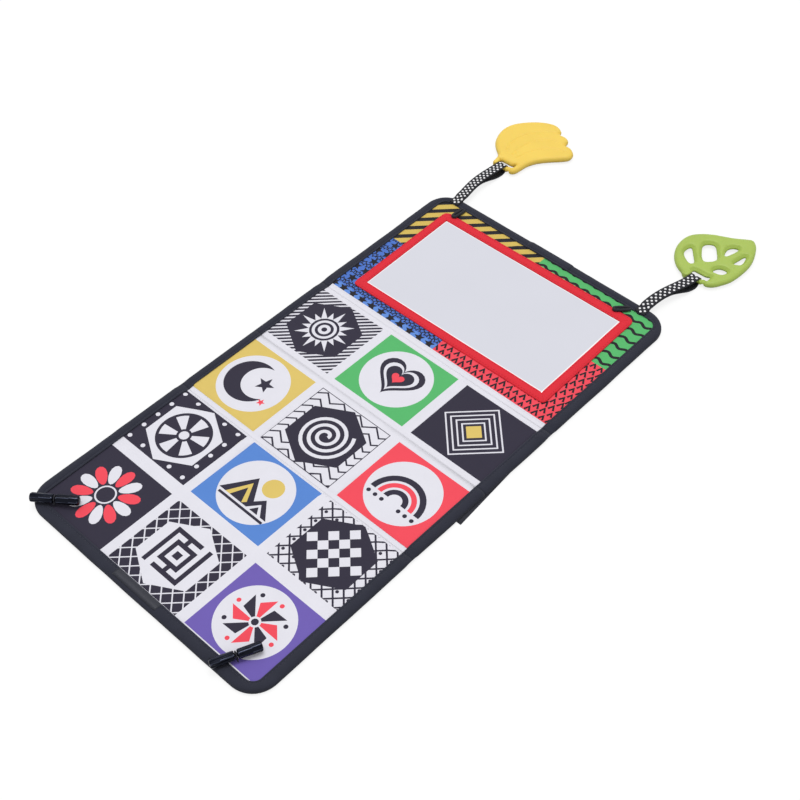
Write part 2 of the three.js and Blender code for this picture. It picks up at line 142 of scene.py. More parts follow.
def mottled_material(name, colour, scale, depth, settings):
    """A material whose colour drifts a little around the one given"""
    material = bpy.data.materials.new(name)
    material.use_nodes = True
    nodes, links = material.node_tree.nodes, material.node_tree.links
    shader = nodes["Principled BSDF"]
    for socket, value in settings.items():
        shader.inputs[socket].default_value = value
    place = nodes.new("ShaderNodeTexCoord")
    ramp = nodes.new("ShaderNodeValToRGB")
    base = linear(colour)
    for element, position, share in zip(ramp.color_ramp.elements, (0.3, 0.7), (1 - depth, 1 + depth)):
        element.position = position
        element.color = (*[min(1, value * share) for value in base], 1)
    links.new(noise_texture(nodes, links, place, scale, 4), ramp.inputs["Fac"])
    links.new(ramp.outputs["Color"], shader.inputs["Base Color"])
    return material, nodes, links, place


def add_bump(nodes, links, height, strength, distance):
    bump = nodes.new("ShaderNodeBump")
    bump.inputs["Strength"].default_value = strength
    bump.inputs["Distance"].default_value = distance * MM
    links.new(height, bump.inputs["Height"])
    links.new(bump.outputs["Normal"], nodes["Principled BSDF"].inputs["Normal"])


def cloth_material(name, colour, thread=0.55, relief=0.05, roughness=0.8, sheen=0.1, depth=0.03):
    """Plain-woven cloth: crossed threads of the given pitch, in millimetres"""
    settings = {
        "Roughness": roughness, "Sheen Weight": sheen, "Sheen Roughness": 0.5, "Specular IOR Level": 0.3,
    }
    material, nodes, links, place = mottled_material(name, colour, 60, depth, settings)
    weave = nodes.new("ShaderNodeMath")
    weave.operation = "MULTIPLY"
    for index, direction in enumerate("XY"):
        wave = nodes.new("ShaderNodeTexWave")
        wave.bands_direction = direction
        wave.inputs["Scale"].default_value = FULL_TURN / 20 / (thread * MM)
        wave.inputs["Distortion"].default_value = 0.6
        wave.inputs["Detail"].default_value = 1
        links.new(place.outputs["Object"], wave.inputs["Vector"])
        links.new(wave.outputs["Fac"], weave.inputs[index])
    add_bump(nodes, links, weave.outputs[0], 0.5, relief)
    return material


def moulded_material(name, colour, roughness, subsurface=0.0, grain=900, relief=0.03, specular=0.5):
    """Moulded plastic or silicone with a fine satin grain"""
    settings = {
        "Roughness": roughness, "Specular IOR Level": specular, "Subsurface Weight": subsurface,
        "Subsurface Radius": (0.003, 0.002, 0.001),
    }
    material, nodes, links, place = mottled_material(name, colour, 40, 0.03, settings)
    add_bump(nodes, links, noise_texture(nodes, links, place, grain), 0.3, relief)
    return material


def mirror_material(name, colour):
    """Flexible mirror film: smooth metal with a faint ripple"""
    settings = {"Metallic": 1, "Roughness": 0.06}
    material, nodes, links, place = mottled_material(name, colour, 12, 0.01, settings)
    add_bump(nodes, links, noise_texture(nodes, links, place, 25), 0.25, 0.3)
    return material


# Inks and cloths; after a cloth's colour come its thread, relief, roughness, sheen and colour drift
ink_colours = {
    "white": (236, 235, 244),
    "black": (45, 41, 59),
    "deep_black": (25, 23, 31),
    "yellow": (230, 202, 110),
    "straw": (222, 193, 96),
    "green": (90, 190, 112),
    "blue": (90, 139, 217),
    "pale_blue": (100, 147, 226),
    "mid_blue": (78, 121, 209),
    "red": (252, 78, 94),
    "purple": (115, 97, 184),
}
ink_names = list(ink_colours)
ink_materials = [
    cloth_material("print_" + name, colour, depth=0.015) for name, colour in ink_colours.items()
]
tape_material = cloth_material("binding_cloth", (43, 45, 58), 0.8, 0.12, 0.9, 0.08, 0.08)
tape_thread = cloth_material("binding_thread", (60, 62, 76), 0.4, 0.05, 0.7)
back_material = cloth_material("back_weave", (52, 53, 62), 0.7, 0.08, 0.9, 0.1)
white_thread = cloth_material("white_thread", (236, 235, 242), 0.4, 0.05, 0.7)
frame_material = cloth_material("red_cloth", (230, 40, 56), 0.6, 0.08, 0.75, 0.03)
frame_thread = cloth_material("red_thread", (205, 38, 54), 0.4, 0.05, 0.7)
foam_material = moulded_material("foam_sheet", (240, 236, 224), 0.95, 0, 1500, 0.3)
film_material = mirror_material("mirror_film", (219, 220, 229))
film_border = mirror_material("film_border", (253, 253, 255))
ribbon_black = cloth_material("ribbon_black", (18, 19, 28), 0.5, 0.08, 0.65, 0.03)
ribbon_white = cloth_material("ribbon_white", (250, 250, 252), 0.5, 0.08, 0.65)
elastic_material = cloth_material("elastic_cord", (24, 25, 34), 0.7, 0.15, 0.6, 0.03)
label_material = cloth_material("label_satin", (46, 48, 58), 0.3, 0.03, 0.4, 0.03, 0.12)
toggle_material = moulded_material("black_plastic", (10, 11, 18), 0.2, specular=0.15)
# Lighter, more specular copy of the black plastic, used on some flute crests as painted highlight streaks
toggle_crest_highlight = moulded_material("highlight_plastic", (14, 15, 24), 0.2, specular=1.0)
for glossy in (toggle_material, toggle_crest_highlight):
    glossy.node_tree.nodes["Principled BSDF"].inputs["Specular Tint"].default_value = (0.6, 0.68, 1, 1)
banana_material = moulded_material("yellow_silicone", (251, 214, 88), 0.5, 0.1)
leaf_material = moulded_material("green_silicone", (172, 197, 85), 0.45, 0.1)


# Meshes
def smoothstep(low, high, value):
    share = np.clip((value - low) / (high - low), 0, 1)
    return share * share * (3 - 2 * share)


def make_piece(name, points, faces, materials, slots=None):
    """An object from points in millimetres and faces with a material number each"""
    mesh = bpy.data.meshes.new(name)
    mesh.from_pydata((np.array(points) * MM).tolist(), [], faces)
    for material in materials:
        mesh.materials.append(material)
    if slots is not None:
        mesh.polygons.foreach_set("material_index", slots)
    mesh.polygons.foreach_set("use_smooth", [True] * len(mesh.polygons))
    shell = bmesh.new()
    shell.from_mesh(mesh)
    bmesh.ops.recalc_face_normals(shell, faces=shell.faces)
    shell.to_mesh(mesh)
    shell.free()
    mesh.update()
    piece = bpy.data.objects.new(name, mesh)
    scene.collection.objects.link(piece)
    return piece


class Parts:
    """Points, faces and material numbers gathered for one piece"""

    def __init__(self):
        self.points = []
        self.faces = []
        self.slots = []

    def add(self, points, faces, slot=0):
        first = len(self.points)
        self.points.extend(tuple(point) for point in points)
        self.faces.extend([index + first for index in face] for face in faces)
        self.slots.extend(slot if isinstance(slot, list) else [slot] * len(faces))

    def piece(self, name, materials):
        return make_piece(name, self.points, self.faces, materials, self.slots)


def tube_faces(rings, sides):
    """Faces between rings of points that follow each other, and over both ends"""
    faces = []
    for near in range(0, (rings - 1) * sides, sides):
        far = near + sides
        for side in range(sides):
            beyond = (side + 1) % sides
            faces.append([near + side, near + beyond, far + beyond, far + side])
    last = (rings - 1) * sides
    return faces + [list(range(sides))[::-1], list(range(last, last + sides))]


def grid_faces(columns, rows):
    """Faces between the points of a grid, row after row"""
    corners = [row * columns + column for row in range(rows - 1) for column in range(columns - 1)]
    return [[corner, corner + 1, corner + columns + 1, corner + columns] for corner in corners]


def distances_along(line):
    """The distance from the start of a line to each of its points"""
    return np.concatenate([[0], np.cumsum([(b - a).length for a, b in zip(line, line[1:])])])


def points_at(marks, line, stops):
    """The points at some distances along a line, whose own points lie at the marks"""
    table = np.array(line)
    return [Vector(row) for row in np.column_stack([np.interp(stops, marks, table[:, i]) for i in range(3)])]


def add_stitch(parts, start, end, radius, slot):
    """A short thread that rises a little between its two needle holes"""
    sides = 6
    start, end = Vector(start), Vector(end)
    along = (end - start).normalized()
    across = along.cross(Vector((0, 0, 1))).normalized()
    rise = across.cross(along)
    points = []
    for share, swell, lift in ((0, 0.3, -1), (0.18, 0.9, 0.2), (0.5, 1, 0.5), (0.82, 0.9, 0.2), (1, 0.3, -1)):
        middle = start.lerp(end, share) + rise * radius * lift
        for side in range(sides):
            angle = FULL_TURN * side / sides
            offset = across * math.cos(angle) + rise * math.sin(angle)
            points.append(middle + offset * radius * swell)
    parts.add(points, tube_faces(5, sides), slot)


def add_seam(parts, line, slot, length=2.6, pitch=3.7, radius=0.17):
    """Stitches one after another along a line of points"""
    line = [Vector(point) for point in line]
    marks = distances_along(line)
    count = int((marks[-1] - length) / pitch) + 1
    first = (marks[-1] - (count - 1) * pitch - length) / 2
    begins = first + pitch * np.arange(count)
    for start, end in zip(points_at(marks, line, begins), points_at(marks, line, begins + length)):
        add_stitch(parts, start, end, radius, slot)


def ripple(x, y, size, seed=0.0):
    """Smooth noise between about -1 and 1 with bumps of the given size"""
    return noise.noise(Vector((x / size, y / size, seed)))


# Flat shapes for the prints
def rectangle(x0, x1, y0, y1):
    return [(x0, y0), (x1, y0), (x1, y1), (x0, y1)]


def around(middle, radius, angle):
    return (middle[0] + radius * math.cos(angle), middle[1] + radius * math.sin(angle))


def regular(middle, radius, sides, turn=0.0):
    return [around(middle, radius, FULL_TURN * side / sides + turn) for side in range(sides)]


def disc(middle, radius):
    return regular(middle, radius, max(10, min(56, int(radius * 3))))


def star(middle, outer, inner, count, turn=math.pi / 2):
    steps = range(2 * count)
    return [around(middle, inner if step % 2 else outer, turn + math.pi * step / count) for step in steps]


def sector(middle, inner, outer, start, end):
    """A slice of a ring between two angles"""
    steps = max(2, int(abs(end - start) / 0.15))
    angles = [start + (end - start) * step / steps for step in range(steps + 1)]
    hub = [around(middle, inner, angle) for angle in angles[::-1]]
    return [around(middle, outer, angle) for angle in angles] + hub


def stroke(line, width):
    """A line of points drawn with a pen of the given width"""
    line = [Vector(point) for point in line]
    left, right = [], []
    for index, point in enumerate(line):
        ahead = line[min(index + 1, len(line) - 1)] - line[max(index - 1, 0)]
        side = Vector((-ahead.y, ahead.x)).normalized() * width / 2
        if 0 < index < len(line) - 1:
            before = (point - line[index - 1]).normalized()
            after = (line[index + 1] - point).normalized()
            side *= min(1.8, 1 / max(0.3, math.sqrt((1 + before.dot(after)) / 2)))
        left.append(tuple(point + side))
        right.append(tuple(point - side))
    return left + right[::-1]


def clip_to(polygon, fence):
    """Keeps what lies inside a convex, anticlockwise fence"""
    for (ax, ay), (bx, by) in zip(fence, fence[1:] + fence[:1]):
        kept = []
        for p, q in zip(polygon, polygon[1:] + polygon[:1]):
            here = (bx - ax) * (p[1] - ay) - (by - ay) * (p[0] - ax)
            there = (bx - ax) * (q[1] - ay) - (by - ay) * (q[0] - ax)
            if here >= 0:
                kept.append(p)
            if here * there < 0:
                share = here / (here - there)
                kept.append((p[0] + (q[0] - p[0]) * share, p[1] + (q[1] - p[1]) * share))
        polygon = kept
        if len(polygon) < 3:
            return []
    return polygon


def area_of(polygon):
    return sum(a[0] * b[1] - b[0] * a[1] for a, b in zip(polygon, polygon[1:] + polygon[:1])) / 2


class Print:
    """Shapes in ink, painted one over another"""

    def __init__(self):
        self.shapes = []

    def paint(self, ink, polygon, fence=None):
        if fence:
            polygon = clip_to(polygon, fence)
        area = area_of(polygon) if len(polygon) > 2 else 0
        if abs(area) > 0.02:
            self.shapes.append((ink, polygon if area > 0 else polygon[::-1]))


def stripes(art, ink, fence, pitch, width, slope, shift=0.0):
    """Straight stripes at 45 degrees; slope is 1 or -1"""
    xs = [point[0] for point in fence]
    ys = [point[1] for point in fence]
    reach = max(ys) - min(ys)
    start = min(xs) - reach + shift
    while start < max(xs) + reach:
        a = (start, min(ys)) if slope > 0 else (start, max(ys))
        b = (start + reach, max(ys)) if slope > 0 else (start + reach, min(ys))
        band = [a, (a[0] + width, a[1]), (b[0] + width, b[1]), b]
        art.paint(ink, band, fence)
        start += pitch


# The printed cells: columns from the left, rows from the mirror end
cell_columns = [(-143, -55.6), (-45.6, 43), (54, 140)]
cell_rows = [(6.8, 86.3), (-90.2, -8.2), (-175.7, -97.8), (-270.3, -188.8)]
near_trim = (-271.3, -270.5, -269.6)
field_radius = 36
badge_radius = 38


def cell_fence(column, row):
    low, high = cell_rows[row]
    if row == 3:
        low = near_trim[column]
    return rectangle(*cell_columns[column], low, high)


def cell_middle(column, row):
    return (sum(cell_columns[column]) / 2, sum(cell_rows[row]) / 2)


def hexagon(middle, radius):
    return regular(middle, radius * 1.03, 6, math.pi / 2)


def sun_cell(art, middle, fence):
    stripes(art, "white", fence, pitch=6.2, width=2.8, slope=1)
    art.paint("black", hexagon(middle, badge_radius))
    rays = 16
    ray_half_width = 3.2
    for ray in range(rays):
        turn = FULL_TURN * ray / rays
        side = Vector((math.cos(turn), math.sin(turn)))
        across = Vector((-side.y, side.x)) * ray_half_width
        foot = Vector(middle) + side * 15
        tip = Vector(middle) + side * (24 if ray % 2 else 30)
        art.paint("white", [tuple(foot + across), tuple(foot - across), tuple(tip)])
    for ink, radius in (("white", 12.5), ("black", 9.5), ("white", 6.5), ("black", 3)):
        art.paint(ink, disc(middle, radius))


def heart(middle, size):
    points = []
    for t in FULL_TURN * np.arange(40) / 40:
        x = 16 * math.sin(t) ** 3
        y = 13 * math.cos(t) - 5 * math.cos(2 * t) - 2 * math.cos(3 * t) - math.cos(4 * t)
        points.append((middle[0] + size * x / 16, middle[1] + size * (y + 2) / 16))
    return points


def heart_cell(art, middle, fence):
    for ink, size in (("black", 25), ("white", 19.5), ("black", 15.5), ("red", 7)):
        art.paint(ink, heart(middle, size))


def squares_cell(art, middle, fence):
    for outer in (36.5, 29.6, 22.7, 15.8):
        art.paint("white", regular(middle, outer, 4))
        art.paint("black", regular(middle, outer - 2.1, 4))
    art.paint("yellow", regular(middle, 10, 4))


def moon_cell(art, middle, fence):
    x, y = middle
    art.paint("black", disc((x - 4, y), 26))
    art.paint("white", disc((x + 6, y + 5), 20))
    art.paint("black", star((x + 10, y + 6), 10, 4.2, 5))
    art.paint("red", star((x + 23, y - 12), 4.5, 2, 5))


def spiral_cell(art, middle, fence):
    (left, near), (right, far) = fence[0], fence[2]
    rim = 0.8
    inner = rectangle(left + rim, right - rim, near + rim, far - rim)
    art.paint("white", inner)
    swing = 4.2
    step_width = 10.6
    for height in np.arange(near - 8, far + 8, 10.5):
        ups = [height + swing * (1 if step % 2 else -1) for step in range(10)]
        zigzag = [(left - 2 + step * step_width, up) for step, up in enumerate(ups)]
        art.paint("black", stroke(zigzag, 1.7), inner)
    art.paint("black", hexagon(middle, badge_radius))
    turns = 3.1
    spiral = [around(middle, 3 + 24 * share, FULL_TURN * turns * share) for share in np.linspace(0, 1, 90)]
    art.paint("white", stroke(spiral, 3.6))


def rainbow_cell(art, middle, fence):
    x, y = middle
    foot = (x, y - 12)
    for ink, outer, inner in (("black", 29, 23), ("red", 20.5, 15.5), ("black", 13, 7.5)):
        art.paint(ink, sector(foot, inner, outer, 0, math.pi))
    for offset in (-26, -18, -10.2, 10.2, 18, 26):
        art.paint("black", disc((x + offset, y - 17.5), 2.2))


def ball_cell(art, middle, fence):
    left, near = fence[0]
    for row in range(5):
        for column in range(5):
            spot = (left + 6 + column * 18.5, near + 5.5 + row * 17)
            art.paint("white", disc(spot, 2.3), fence)
    art.paint("white", hexagon(middle, 36.5))
    art.paint("black", disc(middle, 27))
    slices = 6
    lean = 0.12
    for number in range(slices):
        turn = FULL_TURN * number / slices
        art.paint("white", sector(middle, 7.5, 24, turn + lean, turn + FULL_TURN / 12 + lean))
    art.paint("white", disc(middle, 5))


def hills_cell(art, middle, fence):
    field = disc(middle, field_radius)
    x, y = middle
    art.paint("yellow", disc((x + 9, y + 13), 10.5))
    for ink, peak, half, top in (("black", -9, 21, 13), ("yellow", -9, 13, 5.5), ("black", -9, 7.5, -1)):
        art.paint(ink, [(x + peak - half, y - 17), (x + peak + half, y - 17), (x + peak, y + top)], field)
    for ink, half, top in (("black", 16, 0), ("white", 9, -6.5), ("black", 5, -10)):
        art.paint(ink, [(x + 14 - half, y - 17), (x + 14 + half, y - 17), (x + 14, y + top)], field)
    art.paint("black", rectangle(x - 27, x + 29, y - 22, y - 19.3), field)


def checks_cell(art, middle, fence):
    pitch = 13.2
    for slope in (1, -1):
        stripes(art, "black", fence, pitch, 2.5, slope)
    for row in range(7):
        for column in range(7):
            spot = (fence[0][0] + pitch / 2 + column * pitch, fence[0][1] + row * pitch)
            art.paint("black", disc(spot, 1.7), fence)
    art.paint("black", hexagon(middle, badge_radius))
    half_diagonal = 9.4 * 0.7071
    for row in range(-2, 3):
        for column in range(-2, 3):
            if (row + column) % 2 == 0:
                x = middle[0] + (column - row) * half_diagonal
                y = middle[1] + (column + row) * half_diagonal
                art.paint("white", regular((x, y), half_diagonal, 4))


def rosette_cell(art, middle, fence):
    petals = 12
    for petal in range(petals):
        turn = FULL_TURN * petal / petals
        points = []
        for angle in FULL_TURN * np.arange(14) / 14:
            along = 22.5 + 10.8 * math.cos(angle)
            across = (5.4 + 1.1 * math.cos(angle)) * math.sin(angle)
            points.append((
                middle[0] + along * math.cos(turn) - across * math.sin(turn),
                middle[1] + along * math.sin(turn) + across * math.cos(turn),
            ))
        art.paint("red" if petal % 2 else "white", points)
    art.paint("white", disc(middle, 10.2))
    art.paint("black", disc(middle, 8.6))


def maze_cell(art, middle, fence):
    for slope in (1, -1):
        stripes(art, "white", fence, pitch=13.8, width=1.7, slope=slope)
    art.paint("white", hexagon(middle, 37))
    x, y = middle
    wall = 4.6
    for half in (22, 12.5):
        for ink, reach in (("black", half), ("white", half - wall)):
            art.paint(ink, rectangle(x - reach, x + reach, y - reach, y + reach))
    art.paint("black", rectangle(x - 3.6, x + 3.6, y - 3.6, y + 3.6))
    for way in (-1, 1):
        gap = sorted((y + way * 17, y + way * 23))
        art.paint("white", rectangle(x + way * 14 - 3.4, x + way * 14 + 3.4, *gap))
        link = sorted((y - way * 18, y - way * 12))
        art.paint("black", rectangle(x + way * 3 - 2.3, x + way * 3 + 2.3, *link))


def windmill_cell(art, middle, fence):
    blades = 8
    for blade in range(blades):
        turn = FULL_TURN * blade / blades
        corners = [tuple(middle), around(middle, 27, turn), around(middle, 19, turn + FULL_TURN / 11)]
        art.paint("black" if blade % 2 else "red", corners)
    art.paint("white", disc(middle, 5.4))
    art.paint("black", disc(middle, 3.4))
    for spot in range(blades):
        place = around(middle, 26.5, FULL_TURN * (spot + 0.72) / blades)
        art.paint("red" if spot % 2 else "black", disc(place, 2.2))


# Each cell's ground and what is drawn on it, after a white field on the coloured grounds
cell_art = [
    [("black", sun_cell), ("green", heart_cell), ("black", squares_cell)],
    [("yellow", moon_cell), ("black", spiral_cell), ("red", rainbow_cell)],
    [("black", ball_cell), ("blue", hills_cell), ("white", checks_cell)],
    [("black", rosette_cell), ("black", maze_cell), ("purple", windmill_cell)],
]


def cells_print(rows):
    art = Print()
    for row in rows:
        for column, (ground, painter) in enumerate(cell_art[row]):
            middle, fence = cell_middle(column, row), cell_fence(column, row)
            art.paint(ground, fence)
            if ground not in ("black", "white"):
                art.paint("white", disc(middle, field_radius))
            painter(art, middle, fence)
    return art


# Patterns round the mirror, in four quarters
pattern_left = -141
pattern_right = 140.5
pattern_near = 98.7
pattern_middle = (-2.3, 189.5)


def blue_pattern(art, fence):
    """Rows of solid stars, the first one with pale discs, and rows of small outlined stars between"""
    height = fence[0][1] + 3
    row = 0
    while height < fence[2][1] + 5:
        solid = row % 2 == 0
        pitch = 13 if solid else 6.5
        x = fence[0][0] + (1.5 if row % 4 == 0 else -2)
        while x < fence[1][0] + 5:
            wobble = 0.5 * ripple(x, height, 6, 4.0)
            turn = math.pi / 2 + 0.9 * ripple(x, height, 5, 6.0)
            if solid:
                if row == 0:
                    art.paint("pale_blue", disc((x + pitch / 2, height + wobble), 4.2), fence)
                art.paint("deep_black", star((x, height - wobble), 6.3, 2.7, 5, turn), fence)
            else:
                art.paint("deep_black", star((x, height + wobble), 4.6, 2.4, 5, turn), fence)
                art.paint("mid_blue", star((x, height + wobble), 2.3, 1.15, 5, turn), fence)
            x += pitch
        height += 8
        row += 1


def red_pattern(art, fence):
    """Rows of bent pen strokes of uneven size"""
    height = fence[0][1] + 1.2
    row = 0
    while height < fence[2][1] + 2:
        x = fence[0][0] + 1.5 + (row % 2) * 4.2
        while x < fence[1][0] + 4:
            size = 1 + 0.3 * ripple(x, height, 5, 3.0)
            lean = 1.5 * ripple(x, height, 6, 8.0)
            tick = [
                (x - 2.5 * size, height - 0.4 + lean * 0.4), (x - 0.2 + lean, height + 5.2 * size),
                (x + 2.8 * size, height - lean * 0.3),
            ]
            art.paint("deep_black", stroke(tick, 2.2), fence)
            x += 8.3
        height += 7.6
        row += 1


def wave(x, trough, pitch, height, size):
    return height - size * math.cos(FULL_TURN * (x - trough) / pitch)


def mirror_print():
    art = Print()
    far = far_edge - lip_width + 1.5
    mid_x, mid_y = pattern_middle
    yellow = rectangle(pattern_left, mid_x, mid_y, far)
    art.paint("straw", yellow)
    stripes(art, "deep_black", yellow, pitch=17.7, width=7.8, slope=1, shift=5.8)
    green = rectangle(mid_x, pattern_right, mid_y, far)
    art.paint("green", green)
    for row in range(7):
        xs = np.arange(mid_x, pattern_right + 2, 1.5)
        height = min(195.4 + 13.2 * row, far + 0.7)
        trough = 131.8 + (row % 2) * 2
        line = [(x, wave(x, trough, pitch=13.6, height=height, size=1.5)) for x in xs]
        art.paint("deep_black", stroke(line, 3.3), green)
    blue = rectangle(pattern_left, mid_x, pattern_near, mid_y)
    art.paint("mid_blue", blue)
    blue_pattern(art, blue)
    red = rectangle(mid_x, pattern_right, pattern_near, mid_y)
    art.paint("red", red)
    red_pattern(art, red)
    return art


# Heights of the cloths over the whole mat
def fold_share(y):
    """0 on the panels, 1 in the middle of a fold"""
    away = np.minimum(np.abs(y - far_fold), np.abs(y - near_fold))
    return 1 - smoothstep(fold_half - 1.5, fold_half + 3, away)


crown_height = 0.8
seam_inset = lip_width + 0.6
cloth_reach = 5
end_zone = 60
settling_frames = 20
cloth_settings = {
    "vertex_group_mass": "held", "quality": 6, "mass": 0.05, "tension_stiffness": 20,
    "compression_stiffness": 5, "bending_stiffness": 0.3, "shrink_min": -0.006,
    "use_pressure": True, "uniform_pressure_force": 4,
}


def simulated_crown(name, x0, x1, y0, y1, flat_box=None):
    """Blows a sewn-down cloth up a little over its pad and returns its heights"""
    pitch = 6
    columns = int((x1 - x0) / pitch) + 1
    rows = int((y1 - y0) / pitch) + 1
    xs = np.linspace(x0, x1, columns)
    ys = np.linspace(y0, y1, rows)
    grid_x, grid_y = np.meshgrid(xs, ys)
    held = np.zeros((rows, columns), bool)
    held[0, :] = held[-1, :] = held[:, 0] = held[:, -1] = True
    if flat_box:
        inside_x = (grid_x > flat_box[0]) & (grid_x < flat_box[1])
        inside_y = (grid_y > flat_box[2]) & (grid_y < flat_box[3])
        held |= inside_x & inside_y
    start = np.stack([grid_x, grid_y, np.zeros_like(grid_x)], -1).reshape(-1, 3)
    start[:, 2] = [0.15 * ripple(x, y, 35, 1.0) for x, y in start[:, :2]]
    piece = make_piece(name, start, grid_faces(columns, rows), [])
    group = piece.vertex_groups.new(name="held")
    group.add([int(index) for index in np.flatnonzero(held.ravel())], 1.0, "REPLACE")
    cloth = piece.modifiers.new("cloth", "CLOTH")
    for key, value in cloth_settings.items():
        setattr(cloth.settings, key, value)
    cloth.settings.effector_weights.gravity = 0
    cloth.collision_settings.use_collision = False
    for number in range(1, settling_frames + 1):
        scene.frame_set(number)
    settled = piece.evaluated_get(bpy.context.evaluated_depsgraph_get())
    final = settled.to_mesh()
    height = np.array([vertex.co.z for vertex in final.vertices]).reshape(rows, columns) / MM
    settled.to_mesh_clear()
    bpy.data.objects.remove(piece)
    scene.frame_set(1)
    top = max(crown_height, float(np.percentile(height, 98)))
    height = np.clip(height * crown_height / top, -0.15, 1.2 * crown_height)
    return xs, ys, np.where(held, 0, height)


def sample(crown, x, y):
    """Smooth height of a crown at many places"""
    xs, ys, height = crown
    column = np.clip((x - xs[0]) / (xs[1] - xs[0]), 0, len(xs) - 1.001)
    row = np.clip((y - ys[0]) / (ys[1] - ys[0]), 0, len(ys) - 1.001)
    i, j = column.astype(int), row.astype(int)
    u, v = column - i, row - j
    u, v = u * u * (3 - 2 * u) * 0.5 + u * 0.5, v * v * (3 - 2 * v) * 0.5 + v * 0.5
    low = height[j, i] * (1 - u) + height[j, i + 1] * u
    high = height[j + 1, i] * (1 - u) + height[j + 1, i + 1] * u
    inside = (x > xs[0]) & (x < xs[-1]) & (y > ys[0]) & (y < ys[-1])
    return np.where(inside, low * (1 - v) + high * v, 0)


inner_left = left_edge + seam_inset
inner_right = right_edge - seam_inset
trim_low = [min(span("mirror_trim_left")[0][axis], span("mirror_trim_near")[0][axis]) for axis in range(3)]
trim_high = [max(span("mirror_trim_right")[1][axis], span("mirror_trim_far")[1][axis]) for axis in range(3)]
frame_outline = (trim_low[0], trim_high[0], trim_low[1], trim_high[1])
crowns = [
    simulated_crown(
        "mirror_pad_crown", inner_left, inner_right, far_creases[1], far_edge - seam_inset, frame_outline
    ),
    simulated_crown("mid_pad_crown", inner_left, inner_right, near_creases[0], far_creases[0]),
    simulated_crown("end_pad_crown", inner_left, inner_right, near_edge + seam_inset, near_creases[1]),
]


def front_height(x, y):
    crown = sum(sample(layer, x, y) for layer in crowns)
    return cloth_top + (fold_cloth_top - cloth_top) * fold_share(y) + crown


def back_height(x, y):
    return back_top + (fold_back_top - back_top) * fold_share(y)


def sheet_outline(y0, y1):
    """Outline of a cloth between two lines across the mat, notched beside the folds"""
    side_x = right_edge - lip_width + cloth_reach
    notch_x = right_edge - lip_width - 0.3
    radius = 18
    offsets = (-fold_half - 2.5, -fold_half - 1.5, fold_half + 1.5, fold_half + 2.5)
    corners = [fold + offset for fold in (near_fold, far_fold) for offset in offsets]
    heights = [y0] + [y for y in corners if y0 < y < y1] + [y1]
    right = []
    for y in heights:
        away = min(abs(y - far_fold), abs(y - near_fold))
        right.append((notch_x if away < fold_half + 2 else side_x, y))
    turns = np.linspace(0, math.pi / 2, 9)
    if y1 > far_fold + end_zone:
        middle = (side_x - radius, far_edge - lip_width + cloth_reach - radius)
        right = right[:-1] + [around(middle, radius, turn) for turn in turns]
    if y0 < near_fold - end_zone:
        middle = (side_x - radius, near_edge + lip_width - cloth_reach + radius)
        right = [around(middle, radius, -turn) for turn in turns[::-1]] + right[1:]
    return right + [(-x, y) for x, y in right[::-1]]


def holds(polygon, places):
    """Which of the places lie inside a polygon"""
    x, y = places[:, 0], places[:, 1]
    within = np.zeros(len(places), bool)
    for (ax, ay), (bx, by) in zip(polygon, polygon[1:] + polygon[:1]):
        if ay != by:
            crosses = ((ay > y) != (by > y)) & (x < (bx - ax) * (y - ay) / (by - ay) + ax)
            within ^= crosses
    return within


def cut_flat(shapes, inner):
    """The first shape's places, its triangles, cut along every shape, and the topmost shape at each"""
    flat, faces = [], []
    for shape in shapes:
        faces.append(list(range(len(flat), len(flat) + len(shape))))
        flat.extend(shape)
    corners = [Vector(place) for place in flat + inner]
    cut = delaunay_2d_cdt(corners, [], faces, 0, 0.004)
    plan = np.array([place[:] for place in cut[0]])
    triangles = np.array([list(face) for face in cut[2]])
    centers = plan[triangles].mean(1)
    topmost = np.full(len(triangles), -1)
    for number, shape in enumerate(shapes):
        corners = np.array(shape)
        near = np.flatnonzero(
            (centers > corners.min(0) - 0.01).all(1) & (centers < corners.max(0) + 0.01).all(1)
        )
        found = near[holds(shape, centers[near])]
        if number == 0:
            topmost[found] = 0
        else:
            topmost[found[topmost[found] >= 0]] = number
    kept = topmost >= 0
    used, renumbered = np.unique(triangles[kept], return_inverse=True)
    return plan[used], renumbered.reshape(-1, 3).tolist(), topmost[kept].tolist()


def closed_sheet(top_faces, top_slots, count, rest=0):
    """Faces of a sheet with an upper side, a lower side count points later, and a rim"""
    directed = {(a, b) for face in top_faces for a, b in zip(face, face[1:] + face[:1])}
    rim = sorted((a, b) for a, b in directed if (b, a) not in directed)
    faces = top_faces + [[index + count for index in face[::-1]] for face in top_faces]
    faces += [[b, a, a + count, b + count] for a, b in rim]
    return faces, top_slots + [rest] * (len(top_faces) + len(rim))


def printed_sheet(name, outline, art, height, materials, thickness, grid=4.0, seams=()):
    """A cloth of the given outline and heights, with its print as faces of its own"""
    crease_rows = np.arange(-5, 5.1, 1.0)
    shapes = [("white", outline)] + (art.shapes if art else [])
    inks = [ink_names.index(ink) if art else 0 for ink, polygon in shapes]
    xs, ys = np.array(outline).T
    rows = list(np.arange(ys.min() + grid / 2, ys.max() - grid / 4, grid))
    for crease in far_creases + near_creases:
        rows += list(crease + crease_rows)
    inner = []
    for row, y in enumerate(sorted(set(np.round(rows, 3)))):
        if ys.min() + 0.3 < y < ys.max() - 0.3:
            shift = grid / 2 * (row % 2)
            inner.extend((x, y) for x in np.arange(xs.min() + grid / 2 + shift, xs.max() - 0.5, grid))
    plan, top_faces, topmost = cut_flat([polygon for ink, polygon in shapes], inner)
    top = height(plan[:, 0], plan[:, 1])
    faces, slots = closed_sheet(top_faces, [inks[owner] for owner in topmost], len(plan))
    points = np.vstack([np.column_stack([plan, level]) for level in (top, top - thickness)])
    parts = Parts()
    parts.add(points, faces, slots)
    for line in seams:
        add_seam(parts, line, len(materials) - 1)
    return parts.piece(name, materials)


